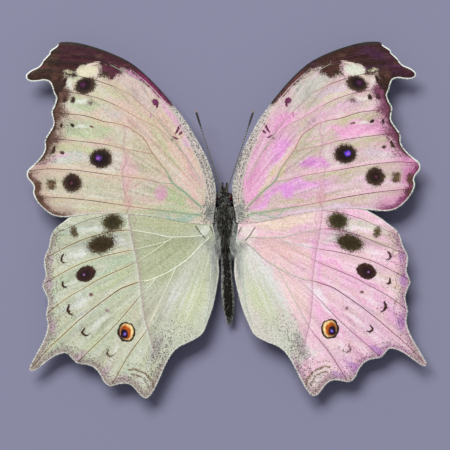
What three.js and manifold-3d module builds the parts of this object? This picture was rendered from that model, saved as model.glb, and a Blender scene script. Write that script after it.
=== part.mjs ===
// A spread butterfly: a dried specimen with its four wings set level, resting on its breast and its feet.
// Millimetres. +X is the specimen's right, +Y is towards the head, +Z is up.
// The origin is on the flat of the breast, in the plane that the specimen lies on.
import * as THREE from "three";
import { mergeVertices } from "three/addons/utils/BufferGeometryUtils.js";
import Module from "manifold-3d";

const wasm = await Module();
wasm.setup();

// Driving dimensions of the body.
const thoraxHeight = 5.5;
const thoraxAxisHeight = 2.45;
const abdomenStart = -6.85;
const abdomenEnd = -22;
const abdomenAxisHeight = 2.75;
const abdomenTipHeight = 1.75;
const abdomenTipLean = 0.43;
const abdomenDepthShare = 1.12;
const segmentGroove = 0.07;
const headPlace = [0.12, 3.75, 3.05];
const headRadii = [1.2, 1.2, 1.15];
const eyePlace = [1.12, -0.2, 0.15];
const eyeRadii = [0.68, 0.85, 0.9];
const eyeGap = 0.3;
const palpRadius = 0.27;
const tongueRadius = 0.1;
const tongueCoilRadius = 0.72;
const tongueTurns = 1.8;
const antennaRadius = 0.12;
const clubRadius = 0.22;
const clubShare = 0.16;
const thighRadius = 0.34;
const footRadius = 0.17;
const forelegShare = 0.7;

// Driving dimensions of the wings.
const wingThickness = 0.3;
const forewingHeight = 4.55;
const hindwingHeight = 3.75;
const wingReach = 46;
const wingRise = 1.5;
const wingDroop = 1.75;
const rootOffset = 0.17;
const innerFoldWidth = 6;
const innerFoldDrop = 0.9;
const sheetCell = 4.4;

// The right wings are set a little further back than the mirror image of the left ones.
const rightForewingSet = { out: 0.05, lower: 0.0015, sag: 0.018, sagWidth: 12 };
const rightHindwingSet = { out: 0.16, back: 0.5, turn: 0.02, tuck: 0.9, rootOut: 2.2, rootBack: 2 };

// Outlines of the left wings as [outwards, forwards] from the middle of the wing roots.
// The forewing runs along its front edge, down the scalloped outer edge and back by its hind edge.
const forewingFront = [
  [2.1, -1.5], [1.95, 0.2], [1.6, 2.4], [1.5, 4.6], [1.75, 7], [2.95, 11.1], [4.8, 14.8], [7.5, 19.5],
  [10.7, 23.8], [14.1, 27.7], [17.7, 30.9], [21.9, 33.1], [26, 34.64], [29.2, 35.4], [31.6, 35.46],
];
const forewingOuter = [
  [32.2, 35.05], [32.6, 34.6], [33.8, 33.8], [34.0, 33.15], [35.1, 32.1], [35.75, 31.1], [36.5, 30.5],
  [37.6, 30.05], [38.6, 29.3], [38.8, 28.7], [38.4, 28.05], [37.2, 27.75], [35.3, 27.95], [34.15, 27.6],
  [33.65, 26.7], [33.3, 25.4], [32.85, 24.3], [33.25, 22.9], [33.85, 21.6], [33.6, 20.1], [33.6, 18.9],
  [34.6, 17.2], [35.35, 15.9], [35.35, 14.3], [36.1, 12.8], [37.6, 11.2], [38.95, 9.95], [39.05, 8.6],
  [38.1, 7.35], [37.8, 6.5], [37.95, 5.4], [37.3, 3.85], [35.9, 2.2], [34.2, 0.95], [32.2, 0.5],
];
const forewingHind = [
  [30, 0.6], [26, 1.0], [22, 0.95], [18, 0.55], [13, -0.15], [8.8, -1.1], [5, -1.65], [3, -1.75],
];
// The hindwing runs from its front edge, hidden under the forewing, round both tails to the inner edge.
const hindwingFront = [
  [2.2, -2.6], [2.5, -0.9], [3.6, 0.5], [8, 2.0], [14, 2.9], [21, 3.0], [26.5, 2.2],
];
const hindwingOuter = [
  [30.4, 0.57], [32.3, -0.7], [34.0, -2.1], [34.75, -3.6], [35.1, -5.3], [36.1, -7.7], [36.15, -9.3],
  [35.9, -11.1], [36.65, -13.2], [36.2, -14.4], [35.6, -16.4], [36.1, -19.0], [35.8, -21.2],
  [36.6, -23.8], [38.2, -26.7], [39.4, -28.8], [39.78, -29.75], [39.4, -30.2], [38.3, -29.8],
  [36.6, -28.55], [34.9, -27.4], [33.3, -26.8], [32.1, -26.85], [31.0, -28.0], [30.1, -28.85],
  [28.3, -29.15], [26.8, -29.8], [25.7, -31.1], [24.8, -32.8], [23.6, -33.6], [21.8, -33.2],
  [20.2, -33.2], [19.1, -33.85], [17.9, -35.3], [17.1, -36.05], [16.3, -36.15], [15.2, -35.0],
  [13.9, -32.6], [12.6, -29.8], [11.2, -27.5], [9.6, -26.05],
];
const hindwingInner = [
  [7.2, -25.0], [5.0, -23.6], [3.9, -21.4], [2.7, -18.2], [1.9, -14.8], [1.35, -11.6], [1.4, -9.2],
  [1.6, -6.6], [1.85, -4.4],
];

// Half width of the thorax, as [half width, forwards], from its hind end to its front end.
const thoraxProfile = [
  [0, -6.6], [0.85, -6.5], [1.12, -6.1], [1.24, -5.4], [1.44, -4.5], [1.72, -3.4], [1.94, -2.2],
  [2.0, -0.8], [1.84, 0.6], [1.35, 1.7], [0.75, 2.28], [0, 2.5],
];
// Half width of the abdomen, as [half width, share of the length], from near its tip to its waist.
const abdomenProfile = [
  [0.42, 0.975], [0.8, 0.895], [1.13, 0.78], [1.27, 0.64], [1.16, 0.5], [0.97, 0.36], [1.0, 0.22],
  [1.16, 0.09],
];

// Middle lines of the right-hand legs and of both antennae, as [right, forwards, up].
const legLines = {
  foreleg: [[1.5, 1.75, 1.0], [1.95, 2.9, 0.75], [1.3, 3.9, 0.7], [0.75, 4.1, 0.6]],
  midleg: [
    [2.05, 0.3, 1.2], [3.9, 1.7, 1.75], [5.7, 2.5, 1.6], [6.3, 1.9, 1.1], [6.2, -1.6, 0.3],
    [6.7, -3.6, 0.1], [7.4, -5.6, 0.1],
  ],
  hindleg: [
    [1.95, -3.6, 1.15], [3.3, -4.4, 1.6], [4.6, -5.3, 1.4], [4.8, -6.0, 1.0], [3.7, -9.6, 0.3],
    [3.6, -11.6, 0.1], [4.0, -13.8, 0.1],
  ],
};
const antennaLines = {
  left_antenna: [[-0.4, 4.75, 4.3], [-0.85, 6.0, 4.9], [-2.8, 12.5, 5.35], [-5.25, 21.25, 4.9]],
  right_antenna: [[0.55, 4.75, 4.3], [1.15, 6.3, 4.9], [3.45, 12.5, 5.35], [6.4, 20.9, 4.9]],
};

const { clamp, lerp, smoothstep } = THREE.MathUtils;
const flat = ([x, y]) => new THREE.Vector2(x, y);
const specimen = new THREE.Group();

function addPiece(parent, name, geometry, color, roughness) {
  const material = new THREE.MeshStandardMaterial({ color, roughness, metalness: 0 });
  const mesh = new THREE.Mesh(geometry, material);
  mesh.name = name;
  parent.add(mesh);
  return mesh;
}

// A closed geometry as a solid that can be cut, and back again.
function solidOf(geometry) {
  const bare = geometry.clone();
  bare.deleteAttribute("normal");
  bare.deleteAttribute("uv");
  const merged = mergeVertices(bare, 1e-4);
  const vertProperties = new Float32Array(merged.attributes.position.array);
  const triVerts = new Uint32Array(merged.index.array);
  return new wasm.Manifold(new wasm.Mesh({ numProp: 3, vertProperties, triVerts }));
}

function geometryOf(solid) {
  const mesh = solid.getMesh();
  const geometry = new THREE.BufferGeometry();
  geometry.setAttribute("position", new THREE.BufferAttribute(new Float32Array(mesh.vertProperties), 3));
  geometry.setIndex(new THREE.BufferAttribute(new Uint32Array(mesh.triVerts), 1));
  return geometry;
}

// Moves every vertex of a geometry by a rule.
function reshape(geometry, rule) {
  const position = geometry.attributes.position;
  const point = new THREE.Vector3();
  for (let i = 0; i < position.count; i += 1) {
    point.fromBufferAttribute(position, i);
    rule(point);
    position.setXYZ(i, point.x, point.y, point.z);
  }
  return geometry;
}

// Middle surface of the wings: it rises a little from the root, then droops towards the outer edge.
function camber(out, forward) {
  const share = Math.hypot(out, forward) / wingReach;
  return wingRise * share - wingDroop * share * share;
}

const forewingSurface = (out, forward) => forewingHeight + camber(out, forward);

// The inner edge of the hindwing also folds down beside the abdomen.
function hindwingSurface(out, forward) {
  const nearBody = clamp(1 - out / innerFoldWidth, 0, 1);
  const behindThorax = smoothstep(-forward, 2, 9);
  return hindwingHeight + camber(out, forward) - innerFoldDrop * nearBody * nearBody * behindThorax;
}

// A wing: a thin sheet bent to its surface and trimmed to its outline.
function wingSolid(outline, surface) {
  const [start, ...rest] = outline.map(flat);
  const shape = new THREE.Shape();
  shape.moveTo(start.x, start.y);
  shape.splineThru([...rest, start]);
  const trim = new THREE.ExtrudeGeometry(shape, { depth: 12, curveSegments: 3, bevelEnabled: false });

  const reach = new THREE.Box2().setFromPoints(rest);
  const size = reach.getSize(new THREE.Vector2()).addScalar(sheetCell);
  const middle = reach.getCenter(new THREE.Vector2());
  const columns = Math.round(size.x / sheetCell);
  const rows = Math.round(size.y / sheetCell);
  const sheet = new THREE.BoxGeometry(size.x, size.y, wingThickness, columns, rows, 1);
  reshape(sheet, (point) => {
    point.x += middle.x;
    point.y += middle.y;
    point.z += surface(point.x, point.y);
  });
  return solidOf(sheet).intersect(solidOf(trim));
}

// The right forewing is a little lower all over, and its hind edge sags.
function setRightForewing(point) {
  const { out, lower, sag, sagWidth } = rightForewingSet;
  const hindShare = Math.max(1 - point.y / sagWidth, 0);
  point.y = point.y * (1 - lower * point.x) - sag * point.x * hindShare * hindShare;
  point.x += out;
}

// The right hindwing is turned back in front of its long tail, and its shoulder is tucked in.
function setRightHindwing(point) {
  const { out, back, turn, tuck, rootOut, rootBack } = rightHindwingSet;
  const fromRoot = new THREE.Vector2(point.x - rootOut, point.y + rootBack);
  const turned = turn * smoothstep(Math.atan2(fromRoot.y, fromRoot.x), -0.8, -0.6);
  const shoulder = smoothstep(point.x, 22, 33) * (1 - smoothstep(-point.y, 2, 9));
  point.x += out + turned * fromRoot.y;
  point.y -= back + turned * fromRoot.x + tuck * shoulder;
}

// A right wing keeps the drawn side, and a left one is mirrored, which turns its faces round.
function placeWing(solid, side, setWing) {
  const geometry = geometryOf(solid);
  reshape(geometry, (point) => {
    if (setWing) setWing(point);
    point.x = side * (point.x + rootOffset);
  });
  const corners = geometry.index.array;
  for (let i = 0; side < 0 && i < corners.length; i += 3) {
    [corners[i + 1], corners[i + 2]] = [corners[i + 2], corners[i + 1]];
  }
  return geometry;
}

const forewing = wingSolid([...forewingFront, ...forewingOuter, ...forewingHind], forewingSurface);
const hindwing = wingSolid([...hindwingFront, ...hindwingOuter, ...hindwingInner], hindwingSurface);
addPiece(specimen, "left_hindwing", placeWing(hindwing, -1), 0xc8cdaa, 0.5);
addPiece(specimen, "right_hindwing", placeWing(hindwing, 1, setRightHindwing), 0xdcb9c3, 0.5);
addPiece(specimen, "left_forewing", placeWing(forewing, -1), 0xd2c8aa, 0.5);
addPiece(specimen, "right_forewing", placeWing(forewing, 1, setRightForewing), 0xe1b9d2, 0.5);

// Thorax: an egg-shaped box of hard chitin, with the breast flat where it rests.
function thoraxGeometry() {
  const egg = new THREE.LatheGeometry(thoraxProfile.map(flat), 22);
  const widest = Math.max(...thoraxProfile.map(([halfWidth]) => halfWidth));
  egg.scale(1, 1, thoraxHeight / 2 / widest);
  egg.translate(0, 0, thoraxAxisHeight);
  const room = new THREE.BoxGeometry(10, 20, 10);
  room.translate(0, 0, 5);
  return geometryOf(solidOf(egg).intersect(solidOf(room)));
}
addPiece(specimen, "thorax", thoraxGeometry(), 0x3c3a32, 0.85);

// Abdomen: a ringed tapering tube with a narrow waist, drooping and leaning slightly towards its tip.
function abdomenGeometry() {
  const side = new THREE.SplineCurve(abdomenProfile.map(flat));
  const length = abdomenEnd - abdomenStart;
  const profile = [new THREE.Vector2(0, abdomenEnd)];
  const steps = 20;
  for (let i = 0; i <= steps; i += 1) {
    const point = side.getPoint(i / steps);
    const groove = i % 3 === 2 ? segmentGroove : 0;
    profile.push(new THREE.Vector2(point.x - groove, abdomenStart + length * point.y));
  }
  profile.push(new THREE.Vector2(0.8, abdomenStart + length * 0.035));
  profile.push(new THREE.Vector2(0, abdomenStart));
  return reshape(new THREE.LatheGeometry(profile, 18), (point) => {
    const share = clamp((point.y - abdomenStart) / length, 0, 1);
    const axisHeight = lerp(abdomenAxisHeight, abdomenTipHeight, share * share);
    point.x += abdomenTipLean * Math.pow(share, 1.4);
    point.z = axisHeight + point.z * abdomenDepthShare;
  });
}
addPiece(specimen, "abdomen", abdomenGeometry(), 0x23211c, 0.9);

// An egg-shaped ball, with an allowance all round.
function ballGeometry(radii, allowance, columns, rows) {
  const ball = new THREE.SphereGeometry(1, columns, rows);
  return ball.scale(...radii.map((radius) => radius + allowance));
}

// Head: a ball with a large eye let into each side.
const head = new THREE.Group();
head.position.set(...headPlace);
specimen.add(head);
let skull = solidOf(ballGeometry(headRadii, 0, 18, 12));
for (const [word, side] of [["left", -1], ["right", 1]]) {
  const [out, forward, up] = eyePlace;
  const socket = ballGeometry(eyeRadii, eyeGap, 16, 10).translate(side * out, forward, up);
  skull = skull.subtract(solidOf(socket));
  const eye = addPiece(head, `${word}_eye`, ballGeometry(eyeRadii, 0, 16, 10), 0x4b191c, 0.3);
  eye.position.set(side * out, forward, up);
}
addPiece(head, "head", geometryOf(skull), 0x37352c, 0.85);

// A closed tube along a line of points, whose radius follows a rule. It never dips below the resting plane.
function limbGeometry(line, radiusAt, sides, steps, across) {
  const points = line.map((point) => new THREE.Vector3(...point));
  const curve = new THREE.CatmullRomCurve3(points, false, "centripetal");
  const flatSide = Math.PI / sides;
  const tube = new THREE.CylinderGeometry(1, 1, 1, sides, steps, false, flatSide);
  return reshape(tube, (point) => {
    const share = point.y + 0.5;
    const radius = radiusAt(share);
    const along = curve.getTangentAt(share);
    const sideways = new THREE.Vector3().crossVectors(along, across).normalize();
    const upright = new THREE.Vector3().crossVectors(sideways, along);
    const centre = curve.getPointAt(share);
    centre.z = Math.max(centre.z, radius * Math.cos(flatSide));
    centre.addScaledVector(sideways, point.x * radius);
    point.copy(centre.addScaledVector(upright, point.z * radius));
  });
}
const upwards = new THREE.Vector3(0, 0, 1);
const rightwards = new THREE.Vector3(1, 0, 0);

// Palps: two furry spikes in front of the face.
for (const [word, side] of [["left", -1], ["right", 1]]) {
  const middle = headPlace[0];
  const root = [middle + 0.4 * side, 4.95, 2.6];
  const bend = [middle + 0.47 * side, 5.6, 3.0];
  const tip = [middle + 0.47 * side + 0.08, 6.45, 3.65];
  const taper = (share) => palpRadius * (1 - 0.8 * share * share);
  const geometry = limbGeometry([root, bend, tip], taper, 8, 5, upwards);
  addPiece(specimen, `${word}_palp`, geometry, 0x2d2b26, 0.9);
}

// Proboscis: the tongue, wound in a flat spiral under the face.
function tongueGeometry() {
  const steps = 24;
  const line = [];
  for (let i = 0; i <= steps; i += 1) {
    const share = i / steps;
    const angle = Math.PI * (0.62 - 2 * tongueTurns * share);
    const radius = tongueCoilRadius * (1 - 0.74 * share);
    line.push([headPlace[0], 4.95 + radius * Math.cos(angle), 1.25 + radius * Math.sin(angle)]);
  }
  return limbGeometry(line, (share) => tongueRadius * (1 - 0.4 * share), 6, steps, rightwards);
}
addPiece(specimen, "proboscis", tongueGeometry(), 0x4a3322, 0.6);

// Antennae: thin stalks that end in a small club.
function antennaRadiusAt(share) {
  const swelling = smoothstep(share, 1 - clubShare, 1 - clubShare / 3);
  const closing = 1 - 0.6 * smoothstep(share, 0.97, 1);
  return lerp(antennaRadius, clubRadius, swelling) * closing;
}
for (const [name, line] of Object.entries(antennaLines)) {
  addPiece(specimen, name, limbGeometry(line, antennaRadiusAt, 6, 16, upwards), 0x2a2823, 0.7);
}

// Legs: thigh, shin and foot folded beneath the wings, with the feet flat on the plane.
function legRadiusAt(share) {
  const toeTaper = 1 - 0.25 * smoothstep(share, 0.9, 1);
  return lerp(thighRadius, footRadius, smoothstep(share, 0.3, 0.75)) * toeTaper;
}
for (const [kind, line] of Object.entries(legLines)) {
  const isShort = kind === "foreleg";
  const radiusAt = (share) => legRadiusAt(share) * (isShort ? forelegShare : 1);
  for (const [word, side] of [["left", -1], ["right", 1]]) {
    const sideLine = line.map(([right, forward, up]) => [side * right, forward, up]);
    const geometry = limbGeometry(sideLine, radiusAt, 8, isShort ? 8 : 18, upwards);
    addPiece(specimen, `${word}_${kind}`, geometry, 0x46403a, 0.8);
  }
}

export default specimen;
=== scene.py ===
"""A dried butterfly, spread flat: pearly scaled wings, a furry body, clubbed antennae and folded legs."""
import math

import bmesh
import bpy
import numpy as np
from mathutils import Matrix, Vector


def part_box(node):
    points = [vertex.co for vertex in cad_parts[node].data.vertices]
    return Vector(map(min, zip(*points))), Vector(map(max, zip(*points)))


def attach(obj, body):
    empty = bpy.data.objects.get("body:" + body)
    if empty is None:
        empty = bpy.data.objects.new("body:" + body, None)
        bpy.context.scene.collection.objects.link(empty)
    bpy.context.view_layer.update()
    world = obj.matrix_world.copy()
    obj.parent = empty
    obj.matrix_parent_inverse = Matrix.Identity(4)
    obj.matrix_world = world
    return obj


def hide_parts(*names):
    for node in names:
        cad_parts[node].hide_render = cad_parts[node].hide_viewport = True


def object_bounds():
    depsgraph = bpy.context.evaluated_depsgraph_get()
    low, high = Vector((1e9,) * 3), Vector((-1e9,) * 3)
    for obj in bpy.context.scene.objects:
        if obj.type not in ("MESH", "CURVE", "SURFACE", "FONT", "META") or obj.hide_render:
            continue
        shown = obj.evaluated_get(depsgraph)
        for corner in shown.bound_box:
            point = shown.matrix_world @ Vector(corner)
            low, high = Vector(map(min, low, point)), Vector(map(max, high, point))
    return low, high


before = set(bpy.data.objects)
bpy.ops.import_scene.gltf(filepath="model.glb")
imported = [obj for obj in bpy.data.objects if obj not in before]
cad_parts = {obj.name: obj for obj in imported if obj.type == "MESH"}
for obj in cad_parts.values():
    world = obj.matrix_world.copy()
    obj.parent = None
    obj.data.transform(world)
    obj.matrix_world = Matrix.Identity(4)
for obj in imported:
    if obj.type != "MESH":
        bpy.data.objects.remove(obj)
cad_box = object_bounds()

# The setting: a plain pale grey-lilac board that the specimen lies on, one broad soft lamp ahead of it,
# to the left and high up, pale light from all round, and a camera straight above with a long lens.
MM = 0.001
board_width = 3.0
board_colour = (132, 132, 156)
lamp_direction = Vector((-0.28, 0.6, 0.75))
lamp_distance = 2.4
lamp_width, lamp_depth = 1.6, 0.95
lamp_power = 70
surround_colour = (225, 225, 235)
surround_strength = 0.36
view_centre = Vector((0.015 * MM, -2.0 * MM, 4.4 * MM))
view_distance = 0.5
view_lens = 200
view_turn = math.radians(-1.58)


def linear(colour):
    """A colour given as red, green and blue from 0 to 255, in linear light."""
    share = np.asarray(colour, float) / 255
    return np.where(share <= 0.04045, share / 12.92, ((share + 0.055) / 1.055) ** 2.4)


def new_material(name, colour, roughness, **sockets):
    """A material with its own nodes: a plain shader, ready for a pattern."""
    material = bpy.data.materials.new(name)
    material.use_nodes = True
    nodes = material.node_tree.nodes
    nodes.clear()
    shader = nodes.new("ShaderNodeBsdfPrincipled")
    output = nodes.new("ShaderNodeOutputMaterial")
    material.node_tree.links.new(shader.outputs["BSDF"], output.inputs["Surface"])
    shader.inputs["Base Color"].default_value = (*linear(colour), 1)
    shader.inputs["Roughness"].default_value = roughness
    for socket, value in sockets.items():
        shader.inputs[socket.replace("_", " ")].default_value = value
    return material, material.node_tree, shader


def linked(tree, kind, inputs=(), **settings):
    """A new node, its settings made and its inputs set to values or linked to sockets."""
    node = tree.nodes.new(kind)
    for name, value in settings.items():
        setattr(node, name, value)
    for name, value in dict(inputs).items():
        if isinstance(value, bpy.types.NodeSocket):
            tree.links.new(value, node.inputs[name])
        else:
            node.inputs[name].default_value = value
    return node


def relief(tree, shader, height, strength, depth):
    """Fine relief, in millimetres, from a value that says how high each place stands."""
    bump = linked(tree, "ShaderNodeBump", {"Strength": strength, "Distance": depth * MM, "Height": height})
    tree.links.new(bump.outputs["Normal"], shader.inputs["Normal"])


def finished(mesh, name, material, smooth_shaded=True):
    """A mesh as a named object of its own with its finish on."""
    mesh.name = name
    piece = bpy.data.objects.new(name, mesh)
    bpy.context.scene.collection.objects.link(piece)
    mesh.materials.clear()
    mesh.materials.append(material)
    mesh.polygons.foreach_set("use_smooth", [smooth_shaded] * len(mesh.polygons))
    return piece


board_finish, tree, shader = new_material("pale_board", board_colour, 0.85, Specular_IOR_Level=0.1)
place = linked(tree, "ShaderNodeTexCoord").outputs["Object"]
grain = linked(tree, "ShaderNodeTexNoise", {"Vector": place, "Scale": 900}).outputs["Fac"]
relief(tree, shader, grain, 0.03, 0.1)

bm = bmesh.new()
bmesh.ops.create_grid(bm, x_segments=1, y_segments=1, size=board_width / 2)
board_mesh = bpy.data.meshes.new("board")
bm.to_mesh(board_mesh)
bm.free()
board = finished(board_mesh, "board", board_finish)

lamp_data = bpy.data.lights.new("soft_lamp", "AREA")
lamp_data.shape = "RECTANGLE"
lamp_data.size = lamp_width
lamp_data.size_y = lamp_depth
lamp_data.energy = lamp_power
lamp_data.color = (1.0, 0.99, 0.97)
lamp = bpy.data.objects.new("soft_lamp", lamp_data)
bpy.context.scene.collection.objects.link(lamp)
lamp.location = view_centre + lamp_direction.normalized() * lamp_distance
lamp.rotation_euler = lamp_direction.to_track_quat("Z", "Y").to_euler()

surround = bpy.data.worlds.new("pale_surround")
surround.use_nodes = True
sky = surround.node_tree.nodes["Background"]
sky.inputs["Color"].default_value = (*linear(surround_colour), 1)
sky.inputs["Strength"].default_value = surround_strength
bpy.context.scene.world = surround
bpy.context.scene.view_settings.view_transform = "Standard"

camera_data = bpy.data.cameras.new("overhead")
camera_data.lens = view_lens
camera_data.sensor_width = 36
camera_data.clip_start = 0.01
camera = bpy.data.objects.new("overhead", camera_data)
bpy.context.scene.collection.objects.link(camera)
camera.location = view_centre + Vector((0, 0, view_distance))
camera.rotation_euler = (0, 0, view_turn)
bpy.context.scene.camera = camera

# The wings: four thin dry membranes, stiffened by tubular veins and covered on both faces with pearly
# scales. All four are drawn as left wings, in millimetres outwards and forwards from the wing roots, and
# trimmed to the outline of the left wing of the frame. A right wing is mirrored, then set a little lower.
sheet_cell = 0.16
sheet_half_thickness = 0.055
edge_half_thickness = 0.015
root_offset = 0.17
wing_reach, wing_rise, wing_droop = 46, 1.5, 1.75
forewing_height, hindwing_height = 4.55, 3.75
fold_depth, ridge_height = 0.9, 0.05

forewing_veins = {
    "radial": [(2.6, 1.4), (3.2, 5), (4.5, 10), (6.6, 14.6), (9, 19), (12, 23.2), (15.2, 26.6),
               (18.1, 28.6), (20.2, 29.7), (22, 30.7), (24.5, 31.2), (27.6, 31.1), (35.4, 31.7)],
    "radial_tip": [(22, 30.7), (25, 32), (29, 32.8), (33.8, 33.5)],
    "subcosta": [(2.4, 1.6), (2.5, 5), (3.6, 10), (5.9, 15), (9.6, 20.7), (13.4, 25.6), (17.4, 29.3)],
    "media_1": [(4.2, 6.5), (5.8, 9.5), (8, 13), (10.5, 16.6), (13.5, 20.2), (16.3, 22.9), (17.5, 24.2),
                (19.7, 25.5), (22.8, 26.9), (26, 28), (30, 29), (31.6, 29.4), (35, 29.7), (38.3, 28.9)],
    "media_2": [(7.8, 12.7), (11.3, 16.6), (13.4, 18.2), (15.2, 19.1), (17.5, 20.4), (19.7, 21.8),
                (22.8, 23.4), (26.3, 24.6), (30, 25.4), (33.2, 26.1)],
    "media_3": [(2.6, 0.3), (3.5, 0.9), (5, 2.2), (7.5, 4.6), (9.9, 6.6), (11.3, 9.1), (12.7, 11.1),
                (14.1, 13), (15, 14.8), (15.9, 16.1), (17.5, 17.3), (18.8, 18.2), (21, 18.9),
                (23.6, 19.4), (26.8, 20.5), (29.2, 20.9), (33.7, 21.5)],
    "cubitus_1": [(14, 12.6), (20, 13.9), (22.8, 14.65), (26, 15.2), (30.8, 15.85), (35.2, 16.3)],
    "cubitus_2": [(9.9, 6.6), (12, 6.75), (14, 7.2), (16, 7.7), (20, 8.3), (24, 8.9), (28.1, 9.6),
                  (31.6, 10), (35, 10.2), (38.7, 9.9)],
    "anal": [(3.2, -0.1), (5.1, 0.2), (7.3, 0.5), (11.7, 1.2), (17.2, 2), (24.7, 3.35), (30, 4.1),
             (34.7, 4.55), (37.3, 4.7)],
}
hindwing_veins = {
    "sector": [(4.4, -4.0), (7, -4.15), (10.3, -4.15), (12, -3.9), (14.5, -3.25), (19, -2.5),
               (22, -2.65), (25, -3.2), (28.5, -4.2), (31.6, -5.5), (35.6, -7.4)],
    "media_1": [(10.3, -4.15), (11.5, -4.9), (13, -5.3), (18, -6.4), (21, -6.9), (25, -7.75),
                (29.2, -9.05), (33, -10.9), (36.1, -12.6)],
    "media_2": [(11.5, -4.9), (13, -6), (18, -9), (25, -12), (28.1, -13.7), (31.6, -15.6), (34.5, -17.6),
                (35.8, -18.7)],
    "media_3": [(3.1, -4.4), (3.5, -4.9), (5.2, -6.4), (7.2, -8.4), (10, -10.3), (12, -11.4),
                (15.2, -12.6), (17, -12.8), (19.5, -13.6), (21.2, -14.25), (23.3, -15.6), (26.7, -18),
                (30, -20.6), (33.2, -23.4), (36.3, -26.2), (39, -29.2)],
    "cubitus_1": [(14, -12.3), (15.1, -13.7), (16.8, -15.3), (20, -18.9), (22.1, -21.2), (25.35, -24.3),
                  (27.3, -26), (30, -28.6)],
    "cubitus_2": [(9.9, -10.3), (12, -14.5), (14, -18.5), (16, -22.5), (18.4, -25.6), (20, -27.8),
                  (23.2, -33.1)],
    "costa": [(2.9, -3.0), (3.4, -1.2), (6, 0.3), (12, 1.2), (20, 1.1), (27, -0.2), (33.4, -2.6)],
    "anal_1": [(2.9, -5.2), (3.4, -9), (5.0, -14), (7.5, -19.5), (10.4, -24.4)],
    "anal_2": [(2.6, -6), (2.9, -10), (3.1, -14), (3.7, -18.5), (4.6, -21.6)],
}


def smooth(low, high, value):
    """0 below low, 1 above high, and an even ramp between them."""
    share = np.clip((value - low) / (high - low), 0, 1)
    return share * share * (3 - 2 * share)


def fade(low, high, value):
    """1 below low, 0 above high, and an even ramp between them."""
    return 1 - smooth(low, high, value)


def smooth_line(points, steps=6):
    """A smooth line through points, with a few steps between each two."""
    given = np.asarray(points, float)
    ahead = np.vstack([2 * given[0] - given[1], given, 2 * given[-1] - given[-2]])
    t = np.linspace(0, 1, steps, endpoint=False)[:, None]
    runs = []
    for a, b, c, d in zip(ahead, ahead[1:], ahead[2:], ahead[3:]):
        bend = (2 * a - 5 * b + 4 * c - d) * t**2 + (3 * b - a - 3 * c + d) * t**3
        runs.append(b + 0.5 * ((c - a) * t + bend))
    return np.vstack([*runs, given[-1:]])


def nearest(places, starts, ends, reach=4.0):
    """How far each place is from the nearest of some short segments, on which side of it, and how far along
    them all. Places past the reach get far values."""
    runs = ends - starts
    lengths = np.hypot(*runs.T)
    passed = np.concatenate([[0], np.cumsum(lengths)])
    low = np.minimum(starts, ends).min(0) - reach
    high = np.maximum(starts, ends).max(0) + reach
    picked = np.flatnonzero(np.all((places > low) & (places < high), axis=1))
    spots = places[picked]
    best = np.full((3, len(picked)), 99.0)
    for start, run, length, before in zip(starts, runs, lengths, passed):
        ahead = run / length
        offset = spots - start
        share = np.clip(offset @ ahead, 0, length)
        distance = np.hypot(*(offset - share[:, None] * ahead).T)
        nearer = distance < best[0]
        turn = ahead[0] * offset[:, 1] - ahead[1] * offset[:, 0]
        best[:, nearer] = np.array([distance, np.sign(turn), (before + share) / passed[-1]])[:, nearer]
    found = np.full((3, len(places)), 99.0)
    found[:, picked] = best
    return found


def near_line(places, points, reach=4.0):
    """The same for the smooth line through some points."""
    line = smooth_line(points)
    return nearest(places, line[:-1], line[1:], reach)


def inside(places, outline):
    """Whether each place lies within a closed outline."""
    x, y = places.T
    odd = np.zeros(len(places), bool)
    corners = np.asarray(outline, float)
    for (x0, y0), (x1, y1) in zip(corners, np.roll(corners, -1, axis=0)):
        if y0 != y1:
            odd ^= ((y0 > y) != (y1 > y)) & (x < (x1 - x0) * (y - y0) / (y1 - y0) + x0)
    return odd


def trimmed_sheet(node):
    """A fine sheet with the outline of a left wing of the frame, and that outline as a cutter."""
    low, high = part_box(node)
    cells_out = int((high.x - low.x) / MM / sheet_cell) + 4
    cells_forward = int((high.y - low.y) / MM / sheet_cell) + 4
    bm = bmesh.new()
    bmesh.ops.create_grid(bm, x_segments=cells_out, y_segments=cells_forward, size=0.5)
    size = Vector((cells_out * sheet_cell * MM, cells_forward * sheet_cell * MM, 1))
    bmesh.ops.scale(bm, vec=size, verts=bm.verts)
    bmesh.ops.translate(bm, vec=((low.x + high.x) / 2, (low.y + high.y) / 2, MM), verts=bm.verts)
    bmesh.ops.solidify(bm, geom=bm.faces[:], thickness=2 * MM)
    sheet_mesh = bpy.data.meshes.new("sheet")
    bm.to_mesh(sheet_mesh)
    bm.free()

    bm = bmesh.new()
    bm.from_mesh(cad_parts[node].data)
    bmesh.ops.remove_doubles(bm, verts=bm.verts, dist=0.001 * MM)
    facing_up = {v: sum(face.normal.z for face in v.link_faces) > 0 for v in bm.verts}
    for v in bm.verts:
        v.co.z = (5 if facing_up[v] else -5) * MM
    cutter_mesh = bpy.data.meshes.new("cutter")
    bm.to_mesh(cutter_mesh)
    bm.normal_update()
    rim = []
    for edge in bm.edges:
        walls = [face for face in edge.link_faces if abs(face.normal.z) < 0.5]
        if walls and all(facing_up[v] for v in edge.verts):
            outwards = walls[0].normal
            ends = [(-v.co.x / MM - root_offset, v.co.y / MM) for v in edge.verts]
            rim.append([*ends, (-outwards.x, outwards.y)])
    rim = np.array(rim)
    bm.free()

    sheet = bpy.data.objects.new("sheet", sheet_mesh)
    cutter = bpy.data.objects.new("cutter", cutter_mesh)
    for thing in (sheet, cutter):
        bpy.context.scene.collection.objects.link(thing)
    trim = sheet.modifiers.new("trim", "BOOLEAN")
    trim.operation, trim.solver, trim.object = "INTERSECT", "MANIFOLD", cutter
    bpy.context.view_layer.update()
    trimmed = bpy.data.meshes.new_from_object(sheet.evaluated_get(bpy.context.evaluated_depsgraph_get()))
    for thing in (sheet, cutter):
        bpy.data.objects.remove(thing)
    return trimmed, rim


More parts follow.
